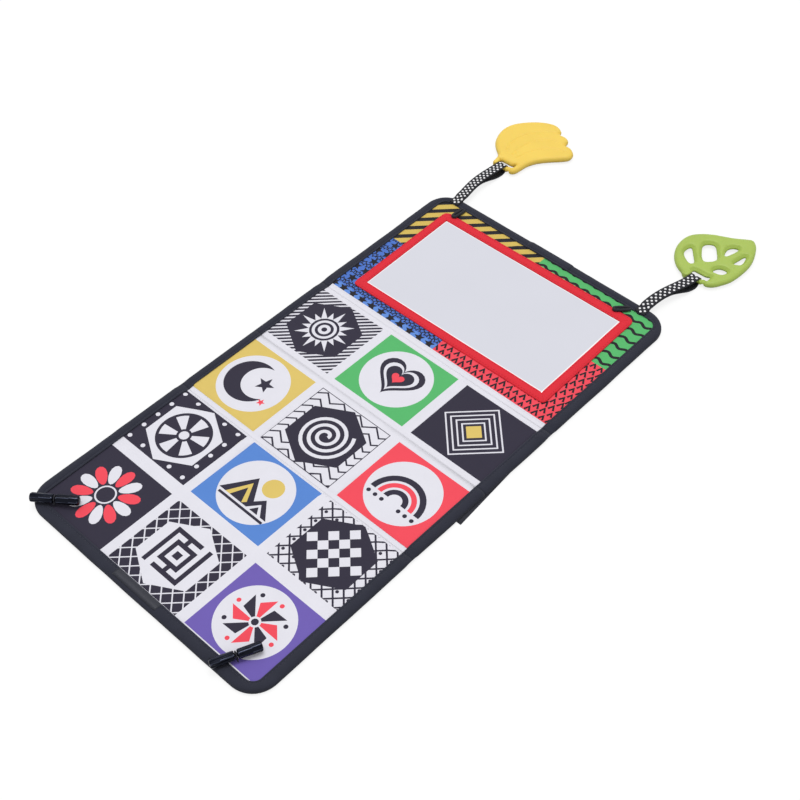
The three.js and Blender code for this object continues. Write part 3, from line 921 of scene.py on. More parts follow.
def cross_line(y, lift=0.05):
    """A line across the cloth for a row of stitches"""
    side = right_edge - lip_width - 1.5
    xs = np.linspace(-side, side, 60)
    return [(x, y, float(front_height(np.array([x]), np.array([y]))[0]) + lift) for x in xs]


# Each cloth ends in the middle of a fold or of the middle panel, so that it spans one crease
middle_line = (cell_rows[0][0] + cell_rows[1][1]) / 2
Section = namedtuple("Section", "name near far near_body far_body crease")
mat_sections = [
    Section("mirror_end", far_fold, far_edge, "mirror_spine", "mirror_panel", far_creases[1]),
    Section("far_middle", middle_line, far_fold, "mid_panel", "mirror_spine", far_creases[0]),
    Section("near_middle", near_fold, middle_line, "end_spine", "mid_panel", near_creases[0]),
    Section("near_end", near_edge, near_fold, "end_panel", "end_spine", near_creases[1]),
]


def bend_with(piece):
    """Bakes the piece's placement into its mesh"""
    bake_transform(piece)


near_seam = cell_rows[2][1] + 0.9
section_prints = {
    "mirror_end": mirror_print(),
    "far_middle": cells_print([0]),
    "near_middle": cells_print([1]),
    "near_end": cells_print([2, 3]),
}
front_nodes = {
    "mirror_end": ["mirror_panel_front_cloth", "mirror_fold_front_cloth"],
    "far_middle": ["mid_panel_front_cloth"],
    "near_end": ["end_panel_front_cloth", "end_fold_front_cloth"],
}
for section in mat_sections:
    low = max(section.near, near_edge + lip_width - cloth_reach)
    high = min(section.far, far_edge - lip_width + cloth_reach)
    outline = sheet_outline(low, high)
    seam = near_seam if section.name == "near_end" else section.crease
    sheet = printed_sheet(
        "front_cloth_" + section.name, outline, section_prints[section.name], front_height,
        ink_materials + [white_thread], cloth_thickness, seams=[cross_line(seam)],
    )
    nodes = front_nodes.get(section.name, [])
    if nodes:
        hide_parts(*nodes)
    bend_with(sheet)
    under = printed_sheet(
        "back_cloth_" + section.name, outline, None, back_height, [back_material], cloth_thickness, grid=8.0,
    )
    if nodes:
        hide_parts(*[node.replace("front", "back") for node in nodes])
    bend_with(under)


# Foam pads, inside
def foam_pad(name, node):
    low, high = span(node)
    soft_edge = 0.8
    taper = 0.97
    outline = []
    for x, y, start in (
        (high[0], high[1], 0), (low[0], high[1], 1), (low[0], low[1], 2), (high[0], low[1], 3)
    ):
        at_end = high[1] > far_fold + end_zone if start < 2 else low[1] < near_fold - end_zone
        radius = 22 if at_end else 1.5
        middle = (x - math.copysign(radius, x), y - radius if start < 2 else y + radius)
        outline += [around(middle, radius, math.pi / 2 * (start + step / 6)) for step in range(7)]
    center = middle_of(node)
    rings = [(taper, low[2]), (1, low[2] + soft_edge), (1, high[2] - soft_edge), (taper, high[2])]
    points = [
        (center.x + (x - center.x) * share, center.y + (y - center.y) * share, z)
        for share, z in rings for x, y in outline
    ]
    pad = make_piece(name, points, tube_faces(len(rings), len(outline)), [foam_material])
    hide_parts(node)
    return pad


for body in ("mirror_panel", "mid_panel", "end_panel"):
    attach(foam_pad("foam_pad_" + body, body + "_foam"), body)


# Binding: a folded tape sewn round the mat
rail_pitch = 3.0
stitch_inset = 6.9
stitch_height = 5.74
fold_squeeze = 0.58
puff_depth = 0.14
corner_outer = 24
corner_inner = 9
tape_swell = 1.0
near_swell = 0.8
left_swell_loss = 0.7
edge_sway = 0.35
toggle_bed = 5.62
bed_half_width = 7.5
bed_half_length = 26
toggle_rolls = [joint_row("toggle_" + side + "_roll") for side in ("left", "right")]

# Its section, as distance in from the edge and height: round the outside, then back along the inside
outside_count = 25
binding_section = [
    (9.0, 5.3), (9.0, 5.8), (8.7, 6.04), (8.0, 6.12), (7.35, 5.96), (6.9, 5.62), (6.45, 5.96),
    (5.6, 6.3), (4.2, 6.5), (2.8, 6.44), (1.5, 6.15), (0.4, 5.6), (-0.4, 4.9), (-0.85, 4.0),
    (-1.0, 3.0), (-0.95, 1.9), (-0.7, 0.9), (-0.1, 0.3), (0.8, 0.05), (2.6, 0.0), (5.4, 0.0),
    (6.9, 0.12), (8.2, 0.0), (8.9, 0.1), (9.0, 0.4), (9.0, 0.75), (6.5, 0.85), (3.5, 0.8),
    (1.6, 1.1), (0.8, 2.1), (0.6, 3.0), (0.8, 3.9), (1.6, 4.9), (3.5, 5.35), (6.5, 5.3),
]


def straight_rail(start, end, side):
    """Stations of outer and inner edge points along one side of the mat"""
    count = max(2, int(abs(end - start) / rail_pitch) + 1)
    ys = np.linspace(start, end, count)
    return [((side * right_edge, y), (side * (right_edge - lip_width), y)) for y in ys]


def end_rail(fold_y, edge_y):
    """Stations up the left side, round the end of the mat and down the right side"""
    way = math.copysign(1, edge_y)
    outer_x = -right_edge + corner_outer
    inner_x = -right_edge + lip_width + corner_inner
    outer_turn = edge_y - way * corner_outer
    inner_turn = edge_y - way * (lip_width + corner_inner)
    left = []
    count = int(abs(outer_turn - fold_y) / rail_pitch) + 1
    for share in np.linspace(0, 1, count, endpoint=False):
        left.append((
            (-right_edge, fold_y + (outer_turn - fold_y) * share),
            (-right_edge + lip_width, fold_y + (inner_turn - fold_y) * share),
        ))
    for angle in np.linspace(0, math.pi / 2, 14):
        left.append(tuple(
            (x - radius * math.cos(angle), y + way * radius * math.sin(angle))
            for x, y, radius in ((outer_x, outer_turn, corner_outer), (inner_x, inner_turn, corner_inner))
        ))
    count = int(-outer_x / rail_pitch) + 1
    for share in np.linspace(0, 1, count)[1:]:
        left.append(((outer_x * (1 - share), edge_y), (inner_x * (1 - share), edge_y - way * lip_width)))
    right = [((-outer[0], outer[1]), (-inner[0], inner[1])) for outer, inner in left[-2::-1]]
    return left + right


def squeezed(height, y):
    """Height of the binding's section, pressed flat at the folds"""
    return mat_middle + (height - mat_middle) * (1 - fold_squeeze * float(fold_share(y)))


def binding_point(outer, inner, inset, height):
    """A point of the section, where the tape swells a little and wanders beside the edge"""
    share = inset / lip_width
    span_x, span_y = outer[0] - inner[0], outer[1] - inner[1]
    swell = tape_swell + near_swell * float(smoothstep(near_fold - end_zone, near_edge, outer[1]))
    if outer[0] < 0:
        beside = float(smoothstep(-130, -40, outer[1]) * smoothstep(260, 180, outer[1]))
        swell -= left_swell_loss * beside
    wander = (swell + edge_sway * ripple(outer[0], outer[1], 32, 5.0)) * (1 - share)
    wander /= math.hypot(span_x, span_y)
    y = outer[1] - span_y * share + span_y * wander
    return outer[0] - span_x * share + span_x * wander, y, squeezed(height, y)


def pressed(point, bed):
    """The point of the tape, pushed down to the given height where a toggle rests on it"""
    x, y, z = point
    for joint in toggle_rolls:
        axis = Vector(joint["axis"][:2])
        away = Vector((x, y)) - Vector(joint["pos_m"][:2]) / MM
        beside = float(smoothstep(bed_half_width, 3.4, abs(axis.cross(away))))
        ends = float(smoothstep(bed_half_length, 22.5, abs(axis.dot(away))))
        z -= max(0, z - bed) * beside * ends
    return x, y, z


def binding_piece(name, rail):
    points = []
    for outer, inner in rail:
        for index, (inset, height) in enumerate(binding_section):
            x, y, z = binding_point(outer, inner, inset, height)
            if index < outside_count and height > 1:
                z += puff_depth * ripple(x, y, 7, 2.0) * (1 - float(fold_share(y)))
            points.append(pressed((x, y, z), toggle_bed))
    parts = Parts()
    parts.add(points, tube_faces(len(rail), len(binding_section)))
    for height, radius in ((stitch_height, 0.2), (0.12, 0.1)):
        seam = [binding_point(outer, inner, stitch_inset, height) for outer, inner in rail]
        seam = [pressed(point, toggle_bed - 0.3) for point in seam]
        add_seam(parts, seam, 1, length=2.5, pitch=3.6, radius=radius)
    piece = parts.piece(name, [tape_material, tape_thread])
    return piece


binding_nodes = {
    "binding_tape_mirror_end": [
        "binding_mirror_panel", "mirror_fold_binding_left", "mirror_fold_binding_right",
    ],
    "binding_tape_near_end": ["binding_end_panel", "end_fold_binding_left", "end_fold_binding_right"],
    "binding_tape_left_far_middle": ["binding_mid_left"],
    "binding_tape_right_far_middle": ["binding_mid_right"],
}
for section in mat_sections:
    if section.name == "mirror_end":
        rails = {"": end_rail(far_fold, far_edge)}
    elif section.name == "near_end":
        rails = {"": end_rail(near_fold, near_edge)}
    else:
        rails = {
            "left_": straight_rail(section.near, section.far, -1),
            "right_": straight_rail(section.far, section.near, 1),
        }
    for prefix, rail in rails.items():
        tape = binding_piece("binding_tape_" + prefix + section.name, rail)
        if tape.name in binding_nodes:
            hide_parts(*binding_nodes[tape.name])
        bend_with(tape)


# Overlapped end of the tape at the far edge, and the bare label at the near edge
def patch_over(name, node, way, lift, material, insets, slack=0.0):
    low, high = span(node)
    xs = np.linspace(low[0], high[0], 24)
    edge_y = far_edge if way > 0 else near_edge
    section = [
        point for point in binding_section[:outside_count]
        if insets[0] <= point[0] <= insets[1] and point[1] > 2.9
    ]
    points = []
    for x in xs:
        reach = min(1.0, (x - low[0]) / 2.5, (high[0] - x) / 2.5)
        for side, row in ((1, section), (0, section[::-1])):
            bulge = (lift if side else 0.02) * (0.35 + 0.65 * reach)
            for inset, height in row:
                y = edge_y - way * inset
                z = height + bulge + slack * ripple(x, y, 9, 8.0) * side
                if inset < 2:
                    y += way * (bulge + tape_swell)
                points.append((x, y, z))
    parts = Parts()
    parts.add(points, tube_faces(len(xs), 2 * len(section)))
    insides, heights = zip(*section[::-1])
    for inset in (insets[0] + 0.9, insets[1] - 0.9):
        height = float(np.interp(inset, insides, heights))
        line = [(x, edge_y - way * inset, height + lift) for x in xs[1:-1]]
        add_seam(parts, line, 1, length=2.2, pitch=3.2, radius=0.16)
    patch = parts.piece(name, [material, tape_thread])
    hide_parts(node)
    return patch


join = patch_over("tape_join", "binding_join", 1, 0.55, tape_material, (-1.0, 8.7))
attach(join, "mirror_panel")
label = patch_over("sewn_label", "blank_label", -1, 0.35, label_material, (1.2, 8.7), 0.12)
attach(label, "end_panel")


# Red cloth frame: four mitred strips that lie on the cloth and lap over the mirror
mirror_low, mirror_high = span("mirror_sheet")
frame_low, frame_high = span("mirror_trim_near")
frame_width = frame_high[1] - frame_low[1]
strip_sway = 0.25
strip_grain = 0.08
mitre_gap = 0.03
frame_turn = math.radians(0.85)
frame_rounding = 4.5
far_extra = 1.2
frame_shift = 1.3
frame_middle = ((trim_low[0] + trim_high[0]) / 2 + frame_shift, (trim_low[1] + trim_high[1]) / 2)

# Its section and its two seams, as distance in from the outer edge and height
frame_section = [
    (0.0, 5.25), (0.1, 5.9), (0.7, 6.5), (1.5, 6.72), (2.0, 6.66), (2.5, 6.78), (3.8, 7.0),
    (5.5, 7.08), (7.2, 7.02), (8.0, 6.88), (8.4, 6.8), (8.8, 6.86), (9.5, 6.78), (9.95, 6.5),
    (10.0, 6.15), (8.0, 6.12), (5.1, 6.12), (4.9, 5.24),
]
frame_seams = [(2.0, 6.72), (8.4, 6.86)]


def turned(x, y, quarter_turns=0):
    """A place given from the frame's middle, with the frame a little askew as it is sewn"""
    angle = frame_turn + quarter_turns * math.pi / 2
    cosine, sine = math.cos(angle), math.sin(angle)
    return frame_middle[0] + x * cosine - y * sine, frame_middle[1] + x * sine + y * cosine


def frame_strip(name, node, half, depth, turns):
    cut = 0.29 * frame_rounding
    ends = [0, 0.5, 1, 1.6, 2.3, 3.1, 4, 5.5, 7.5]
    middle = np.linspace(10, 2 * half - 10, int(2 * half / 4))
    stops = np.concatenate([ends, middle, 2 * half - np.array(ends[::-1])]) / (2 * half)

    def place(share, inset, height, lift=0.0):
        mitre = cut + inset * (1 - cut / frame_width) if inset < frame_width else inset
        reach = half - mitre - mitre_gap
        x = (share * 2 - 1) * reach
        along = (reach - abs(x)) / frame_rounding
        rounding = (mitre - inset) * max(0, 1 - along) ** 2
        if name == "frame_strip_far":
            rounding -= far_extra * (1 - inset / frame_width) * min(1, along)
        inward = inset + rounding + strip_sway * ripple(x, turns * 40, 30, 7.0) * min(1, along)
        x, y = turned(x, -depth + inward, turns)
        return x, y, height + lift + strip_grain * ripple(x, y, 8, 9.0)

    parts = Parts()
    points = [place(share, inset, height) for share in stops for inset, height in frame_section]
    parts.add(points, tube_faces(len(stops), len(frame_section)))
    for inset, height in frame_seams:
        line = [place(share, inset, height, 0.08) for share in np.linspace(0.015, 0.985, len(stops))]
        add_seam(parts, line, 1, length=2.4, pitch=3.4, radius=0.15)
    strip = parts.piece(name, [frame_material, frame_thread])
    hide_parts(node)
    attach(strip, "mirror_panel")


frame_half = ((trim_high[0] - trim_low[0]) / 2, (trim_high[1] - trim_low[1]) / 2)
for turns, side in enumerate(("near", "right", "far", "left")):
    half, depth = frame_half if turns % 2 == 0 else frame_half[::-1]
    frame_strip("frame_strip_" + side, "mirror_trim_" + side, half, depth, turns)


def mirror_film():
    """The mirror sheet, with the pale border that shows inside the frame"""
    border = frame_high[1] - mirror_low[1] + 1.3
    xs, ys = [
        np.concatenate([[low], np.linspace(low + border, high - border, count), [high]])
        for low, high, count in zip(mirror_low, mirror_high, (48, 28))
    ]
    columns, rows = len(xs), len(ys)
    points = []
    for level, base in ((1, mirror_high[2]), (0, mirror_low[2])):
        for y in ys:
            for x in xs:
                place = turned(x + frame_shift - frame_middle[0], y - frame_middle[1])
                points.append((*place, base + level * 0.04 * ripple(x, y, 40, 4.0)))
    top = grid_faces(columns, rows)
    rim = [face[0] % columns in (0, columns - 2) or face[0] // columns in (0, rows - 2) for face in top]
    faces, slots = closed_sheet(top, [int(beside) for beside in rim], columns * rows, 1)
    film = make_piece("mirror_film", points, faces, [film_material, film_border], slots)
    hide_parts("mirror_sheet")
    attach(film, "mirror_panel")


mirror_film()


# Curves through points
def smooth_line(points, pitch):
    """A smooth line through the points, cut into steps of about the given pitch"""
    control = [Vector(point) for point in points]
    control = [control[0] * 2 - control[1]] + control + [control[-1] * 2 - control[-2]]
    fine = []
    for a, b, c, d in zip(control, control[1:], control[2:], control[3:]):
        for t in np.arange(12) / 12:
            fine.append(0.5 * (
                2 * b + (c - a) * t + (2 * a - 5 * b + 4 * c - d) * t * t
                + (3 * b - a - 3 * c + d) * t ** 3
            ))
    fine.append(control[-2])
    marks = distances_along(fine)
    count = max(3, int(round(marks[-1] / pitch)) + 1)
    return points_at(marks, fine, np.linspace(0, marks[-1], count))


def directions(line):
    """The direction of a line at each of its points"""
    return [(b - a).normalized() for a, b in zip(line[:1] + line, line[1:] + line[-1:])]


# Ribbons: one spotted tape each, sewn over the far binding and passed round the teether's bar
ribbon_width = 11.5
tape_depth = 0.5
bar_radius = 2.6
bar_slack = 0.42
spot_radius = 1.2
spot_columns = 3.1


def ribbon_piece(side, bar, arch, bow, drift, spot_rows, aside):
    tab_low, tab_high = span("strap_tab_" + side)
    joint = joint_place("strap_" + side + "_bend")
    base_x = (tab_low[0] + tab_high[0]) / 2
    end_x = bar[0] + aside
    wrap = bar_radius + bar_slack + tape_depth / 2
    reach = bar[1] - joint[1]

    def across(share):
        ease = share * share * (3 - 2 * share)
        return base_x + (end_x - base_x) * ease + bow * math.sin(math.pi * share ** 0.8) ** 1.6

    def upper(share):
        height = joint[2] + (bar[2] + wrap - joint[2]) * share + arch * math.sin(math.pi * share) ** 1.2
        return Vector((across(share), joint[1] + reach * share, height))

    def lower(share):
        apart = float(smoothstep(0.35, 0.95, share))
        height = (upper(share).z - 1.3) * (1 - apart) + (bar[2] - wrap) * apart
        slid = drift * apart * (1 - float(smoothstep(0.8, 1, share)))
        return Vector((across(share) + slid, joint[1] + reach * share, max(height, 0.6)))

    top = tab_low[2] + 1.0
    low = tab_low[2] + 0.32
    out = [(tab_low[1] + 0.4, top - 0.25), (tab_low[1] + 4, top + 0.1), (tab_high[1] - 1.5, top)]
    out.append((joint[1], joint[2] + 0.3))
    back = [(joint[1] - 0.5, joint[2] - 0.9), (tab_high[1] - 1.5, low), (tab_low[1] + 4, low)]
    back.append((tab_low[1] + 0.6, low))
    turn = [around((bar[1], bar[2]), wrap, angle) for angle in np.linspace(math.pi / 2, -math.pi / 2, 7)]
    route = [Vector((base_x, *place)) for place in out]
    route += [upper(share) for share in (0.1, 0.22, 0.36, 0.5, 0.64, 0.78, 0.9)]
    route += [Vector((end_x, *place)) for place in turn]
    route += [lower(share) for share in (0.88, 0.74, 0.6, 0.46, 0.32, 0.18, 0.08)]
    route += [Vector((base_x, *place)) for place in back]
    line = smooth_line(route, 1.1)
    marks = distances_along(line)
    normals = [Vector((1, 0, 0)).cross(direction).normalized() for direction in directions(line)]

    def surface(lift):
        stops = plan[:, 0]
        middles = points_at(marks, line, stops)
        aheads = points_at(marks, line, stops + 0.5)
        points = []
        for w, middle, ahead, up in zip(plan[:, 1], middles, aheads, points_at(marks, normals, stops)):
            up.normalize()
            along = ahead - middle
            if along.length < 1e-4:
                along = Vector((0, 1, 0))
            wide = along.normalized().cross(up).normalized()
            if wide.x < 0:
                wide = -wide
            points.append(middle + wide * w + up * lift)
        return points

    length = float(marks[-1])
    half = ribbon_width / 2
    shapes = [rectangle(0, length, -half, half)]
    for row, station in enumerate(np.arange(1.6, length - 1.5, spot_rows)):
        for w in ((-spot_columns, spot_columns) if row % 2 else (0,)):
            shapes.append(regular((station, w), spot_radius, 10))
    rows = (-half, -spot_columns, 0, spot_columns, half)
    inner = [(station, w) for station in np.arange(0.8, length - 0.4, 1.1) for w in rows]
    plan, top_faces, topmost = cut_flat(shapes, inner)
    points = surface(tape_depth / 2) + surface(-tape_depth / 2)
    faces, slots = closed_sheet(top_faces, [1 if owner else 0 for owner in topmost], len(plan))
    piece = make_piece("spotted_ribbon_" + side, points, faces, [ribbon_black, ribbon_white], slots)
    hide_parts("strap_tab_" + side, "strap_loop_" + side)
    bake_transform(piece)


banana_bar = joint_place("banana_swing")
leaf_bar = joint_place("leaf_swing")
ribbon_piece("left", banana_bar, arch=0.5, bow=-3.2, drift=3.5, spot_rows=2.7, aside=0.6)
ribbon_piece("right", leaf_bar, arch=1.5, bow=-0.8, drift=3.5, spot_rows=3.1, aside=0)


# Teethers: moulded silicone, softened from the frame's solids
teether_voxel = 0.85
wall_slope = 0.35
edge_reach = 5.2
edge_half = 1.0
bar_thicker = 1.03
bar_flare = 2.0
flare_thicker = 0.15
rib_depth = 1.1
rib_half_width = 1.1
vein_rise = 0.4
vein_half_width = 2.4
face_drop = 0.35
ledge_depth = 1.1


def mesh_arrays(mesh):
    points = np.zeros(len(mesh.vertices) * 3)
    normals = np.zeros(len(mesh.vertices) * 3)
    mesh.vertices.foreach_get("co", points)
    mesh.vertices.foreach_get("normal", normals)
    return points.reshape(-1, 3) / MM, normals.reshape(-1, 3)


def shaped(mesh, name, modifiers):
    """The mesh after the given modifiers"""
    blank = bpy.data.objects.new(name, mesh)
    scene.collection.objects.link(blank)
    for kind, settings in modifiers:
        modifier = blank.modifiers.new(kind.lower(), kind)
        for key, value in settings.items():
            setattr(modifier, key, value)
    depsgraph = bpy.context.evaluated_depsgraph_get()
    result = bpy.data.meshes.new_from_object(blank.evaluated_get(depsgraph))
    bpy.data.objects.remove(blank)
    return result


def distance_from(points, places):
    """Distance in plan from each point to the nearest of some places"""
    tree = KDTree(len(places))
    for number, place in enumerate(places):
        tree.insert((place[0], place[1], 0), number)
    tree.balance()
    return np.array([tree.find((point[0], point[1], 0))[2] for point in points])


def hole_walls(walls, cell=1.4):
    """Of the side walls' points, those round holes: all but the widest connected group"""
    cells = {}
    for number, place in enumerate(walls):
        cells.setdefault((int(place[0] // cell), int(place[1] // cell)), []).append(number)
    groups = []
    while cells:
        waiting = [next(iter(cells))]
        group = cells.pop(waiting[0])
        while waiting:
            column, row = waiting.pop()
            for beside in [(column + i, row + j) for i in (-1, 0, 1) for j in (-1, 0, 1)]:
                if beside in cells:
                    group += cells.pop(beside)
                    waiting.append(beside)
        groups.append(group)
    groups.sort(key=lambda group: np.ptp(walls[group, 0]) + np.ptp(walls[group, 1]))
    return walls[[number for group in groups[:-1] for number in group]]


def on_bar(points, bar):
    """1 on the round bar that the ribbon holds, fading out at its ends"""
    ends = smoothstep(12, 9.5, np.abs(points[:, 0] - bar[0]))
    return ends * smoothstep(4.2, 3.2, np.abs(points[:, 1] - bar[1]))


def leaned(points, bar, all_over, near_side, low, high):
    """Moves points aside in plan, those on the near side most, and widens the bar at its ends"""
    across = (points[:, 1] - points[:, 0]) * math.sqrt(0.5)
    from_middle = np.abs(points[:, 0] - bar[0])
    held = smoothstep(12, 6, from_middle) * smoothstep(bar[1] + 10, bar[1] + 4, points[:, 1])
    amount = (all_over + near_side * smoothstep(high, low, across)) * (1 - held) * math.sqrt(0.5)
    flare = smoothstep(5.9, 9.8, from_middle) * smoothstep(bar[1] + 1, bar[1] - 1, points[:, 1])
    flare *= smoothstep(15, 10, from_middle)
    round_bar = on_bar(points, bar)
    thicker = 1 + (bar_thicker - 1) * round_bar
    points[:, 1] = bar[1] + (points[:, 1] - bar[1]) * thicker - bar_flare * flare
    round_bar = on_bar(points, bar)
    points[:, 2] = bar[2] + (points[:, 2] - bar[2]) * (thicker + flare_thicker * flare * round_bar)
    points[:, 2] = np.clip(points[:, 2], 0.15, 2 * bar[2] - 0.15)
    points[:, 0] -= amount
    points[:, 1] += amount


def moulded_piece(name, node, material, carve, bar, lean):
    """A flat moulded piece that thins towards its outline and its holes, so that its edges are round"""
    mesh = frame["nodes"][node].data.copy()
    mesh.materials.clear()
    remesh = ("REMESH", {"mode": "VOXEL", "voxel_size": teether_voxel * MM})
    mesh = shaped(mesh, name, [remesh, ("SMOOTH", {"iterations": 3, "factor": 0.5})])
    points, normals = mesh_arrays(mesh)
    walls = points[np.abs(normals[:, 2]) < wall_slope]
    holes = hole_walls(walls)
    middle = (points[:, 2].min() + points[:, 2].max()) / 2
    half = (points[:, 2].max() - points[:, 2].min()) / 2
    share = np.clip(distance_from(points, walls) / edge_reach, 0, 1)
    share = np.maximum(share, on_bar(points, bar))
    swell = edge_half + (half - edge_half) * np.sqrt(1 - (1 - share) ** 2)
    points[:, 2] = middle + (points[:, 2] - middle) * swell / half
    mesh.vertices.foreach_set("co", (points * MM).ravel())
    mesh = shaped(mesh, name, [("SMOOTH", {"iterations": 4, "factor": 0.5})])
    points, normals = mesh_arrays(mesh)
    facing = np.clip(np.abs(normals[:, 2]) * 1.4 - 0.3, 0, 1) * np.sign(normals[:, 2])
    carve(points, facing, distance_from(points, holes) + 5 * on_bar(points, bar))
    leaned(points, bar, *lean)
    mesh.vertices.foreach_set("co", (points * MM).ravel())
    mesh = shaped(mesh, name, [("SMOOTH", {"iterations": 2, "factor": 0.5})])
    mesh.materials.append(material)
    mesh.polygons.foreach_set("use_smooth", [True] * len(mesh.polygons))
    mesh.update()
    piece = bpy.data.objects.new(name, mesh)
    scene.collection.objects.link(piece)
    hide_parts(node)
    return piece


def distance_to(points, line):
    """Distance in plan from each point to a line of points"""
    best = np.full(len(points), 1e9)
    for (ax, ay), (bx, by) in zip(line, line[1:]):
        length = (bx - ax) ** 2 + (by - ay) ** 2
        share = np.clip(((points[:, 0] - ax) * (bx - ax) + (points[:, 1] - ay) * (by - ay)) / length, 0, 1)
        away = np.hypot(points[:, 0] - ax - (bx - ax) * share, points[:, 1] - ay - (by - ay) * share)
        best = np.minimum(best, away)
    return best


def slot_top(points, x, y):
    """1 along the far wall of a slot, fading out round it"""
    beside = np.clip(1 - (np.abs(points[:, 0] - x) - 10) / 3, 0, 1)
    return beside * smoothstep(y - 3, y - 1, points[:, 1]) * smoothstep(y + 13, y + 2, points[:, 1])


banana_ribs = [
    [(-143, 377), (-148, 390.6), (-144.5, 413.3), (-134.5, 428.3), (-117.8, 440.6)],
    [(-132.5, 374), (-134.7, 385.5), (-132, 407.2), (-121.2, 422.9), (-101, 428.8)],
    [(-124.6, 373), (-123.9, 383.2), (-117.7, 400.7), (-107, 412.6), (-91.7, 419)],
]


def carve_banana(points, facing, hole_away):
    """Drawn-in ribs, and a slot opened a little towards the ribbon"""
    left_of = np.maximum(-134 - points[:, 0], 0)
    points[:, 0] += 0.12 * left_of * smoothstep(376, 364, points[:, 1]) * smoothstep(30, 18, left_of)
    points[:, 1] -= 2.6 * slot_top(points, -132, 365)
    depth = np.zeros(len(points))
    for rib in banana_ribs:
        line = [(point.x, point.y) for point in smooth_line([(x, y, 0) for x, y in rib], 3)]
        depth = np.maximum(depth, rib_depth * np.exp(-(distance_to(points, line) / rib_half_width) ** 2))
    points[:, 2] -= facing * depth


leaf_veins = [
    [(129, 358), (133, 385), (136, 410), (143, 432)],
    [(131, 376), (118, 388), (100, 402)],
    [(134, 398), (122, 410), (104, 418)],
    [(132, 384), (148, 389), (160, 392)],
    [(135, 402), (150, 405), (160, 416)],
]


def carve_leaf(points, facing, hole_away):
    """Raised veins, and a ledge round each hole"""
    points[:, 1] -= 1.6 * slot_top(points, 129.5, 360)
    rise = np.zeros(len(points))
    for vein in leaf_veins:
        rise = np.maximum(rise, vein_rise * np.exp(-(distance_to(points, vein) / vein_half_width) ** 2))
    ledge = ledge_depth * (1 - smoothstep(1.2, 2.8, hole_away))
    points[:, 2] += facing * (rise - face_drop - ledge)


banana_lean = (0, 2.6, 335, 375)
banana = moulded_piece(
    "banana_silicone", "banana_teether", banana_material, carve_banana, banana_bar, banana_lean
)
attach(banana, "banana")
leaf_lean = (1, 2.2, 150, 180)
leaf = moulded_piece("leaf_silicone", "leaf_teether", leaf_material, carve_leaf, leaf_bar, leaf_lean)
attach(leaf, "leaf")


# Toggles: two fluted barrels with a slim waist between them
toggle_length = 45.4
toggle_radius = 4.5
waist_radius = 1.7
waist_half = 1.15
flutes = 6
flute_depth = 0.9
flute_twist = 0.7
up = Vector((0, 0, 1))


def toggle_piece(side):
    axis = Vector(joint_row("toggle_" + side + "_roll")["axis"]).normalized()
    if axis.x < 0:
        axis = -axis
    middle = middle_of("toggle_" + side)
    wide = axis.cross(up).normalized()
    sides = flutes * 12
    half = toggle_length / 2
    stations = [
        (-half, 0.45), (-half + 0.15, 0.7), (-half + 0.5, 0.88), (-half + 1.1, 0.97), (-half + 1.8, 1),
        (-half * 0.6, 1), (-waist_half - 1.6, 1), (-waist_half - 0.8, 0.98), (-waist_half - 0.3, 0.9),
        (-waist_half, 0),
    ]
    stations += [(0, 0)] + [(-along, share) for along, share in stations[::-1]]
    points, painted_highlight = [], []
    for along, share in stations:
        for angle in FULL_TURN * np.arange(sides) / sides:
            lobe = flutes * (angle + flute_twist * along / toggle_length)
            # Faces along one side of each crest take the lighter, more specular copy: painted highlight
            # streaks
            painted_highlight.append(share > 0.8 and math.cos(lobe + 0.3) < -0.45)
            groove = flute_depth * (0.5 + 0.5 * math.cos(lobe)) ** 2 if share > 0.8 else 0
            radius = toggle_radius * share - groove if share > 0 else waist_radius
            radial = up * math.cos(angle) + wide * math.sin(angle)
            points.append(middle + axis * along + radial * radius)
    faces = tube_faces(len(stations), sides)
    slots = [int(all(painted_highlight[corner] for corner in face)) for face in faces]
    toggle = make_piece("fluted_toggle_" + side, points, faces, [toggle_material, toggle_crest_highlight], slots)
    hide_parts("toggle_" + side)
    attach(toggle, "toggle_" + side)


# Thin elastic cords: the toggles' loops and the two loops at the far seam
def cord_piece(name, route, radius, node, body):
    line = smooth_line(route, 0.7)
    sides = 10
    across = up.cross(line[1] - line[0]).normalized()
    points = []
    for index, (point, ahead) in enumerate(zip(line, directions(line))):
        across = (across - ahead * across.dot(ahead)).normalized()
        rise = ahead.cross(across)
        for angle in FULL_TURN * np.arange(sides) / sides:
            swell = radius * (1 + 0.05 * math.sin(index * 2.1 + 2 * angle))
            points.append(point + across * math.cos(angle) * swell + rise * math.sin(angle) * swell)
    piece = make_piece(name, points, tube_faces(len(line), sides), [elastic_material])
    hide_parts(node)
    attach(piece, body)
    return line, piece


cord_radius = 0.7
loop_slack = 0.55
for side in ("left", "right"):
    toggle_piece(side)
    bead = Vector(joint_place("cord_" + side + "_lift"))
    to_toggle = middle_of("toggle_" + side) - bead
    ahead = up.cross(Vector(joint_row("toggle_" + side + "_roll")["axis"])).normalized()
    if ahead.dot(to_toggle) < 0:
        ahead = -ahead
    run = to_toggle.dot(ahead)
    rise = to_toggle.z
    strand = waist_radius + loop_slack + cord_radius
    spots = [(0.2, 0), (run * 0.45, (rise - strand) * 0.6)]
    spots += [around((run, rise), strand, angle) for angle in np.radians(np.arange(-80, 215, 35))]
    spots.append((0.5, 0.6))
    route = [bead + ahead * along + up * height for along, height in spots]
    cord_piece("toggle_cord_loop_" + side, route, cord_radius, "toggle_cord_" + side, "cord_" + side)

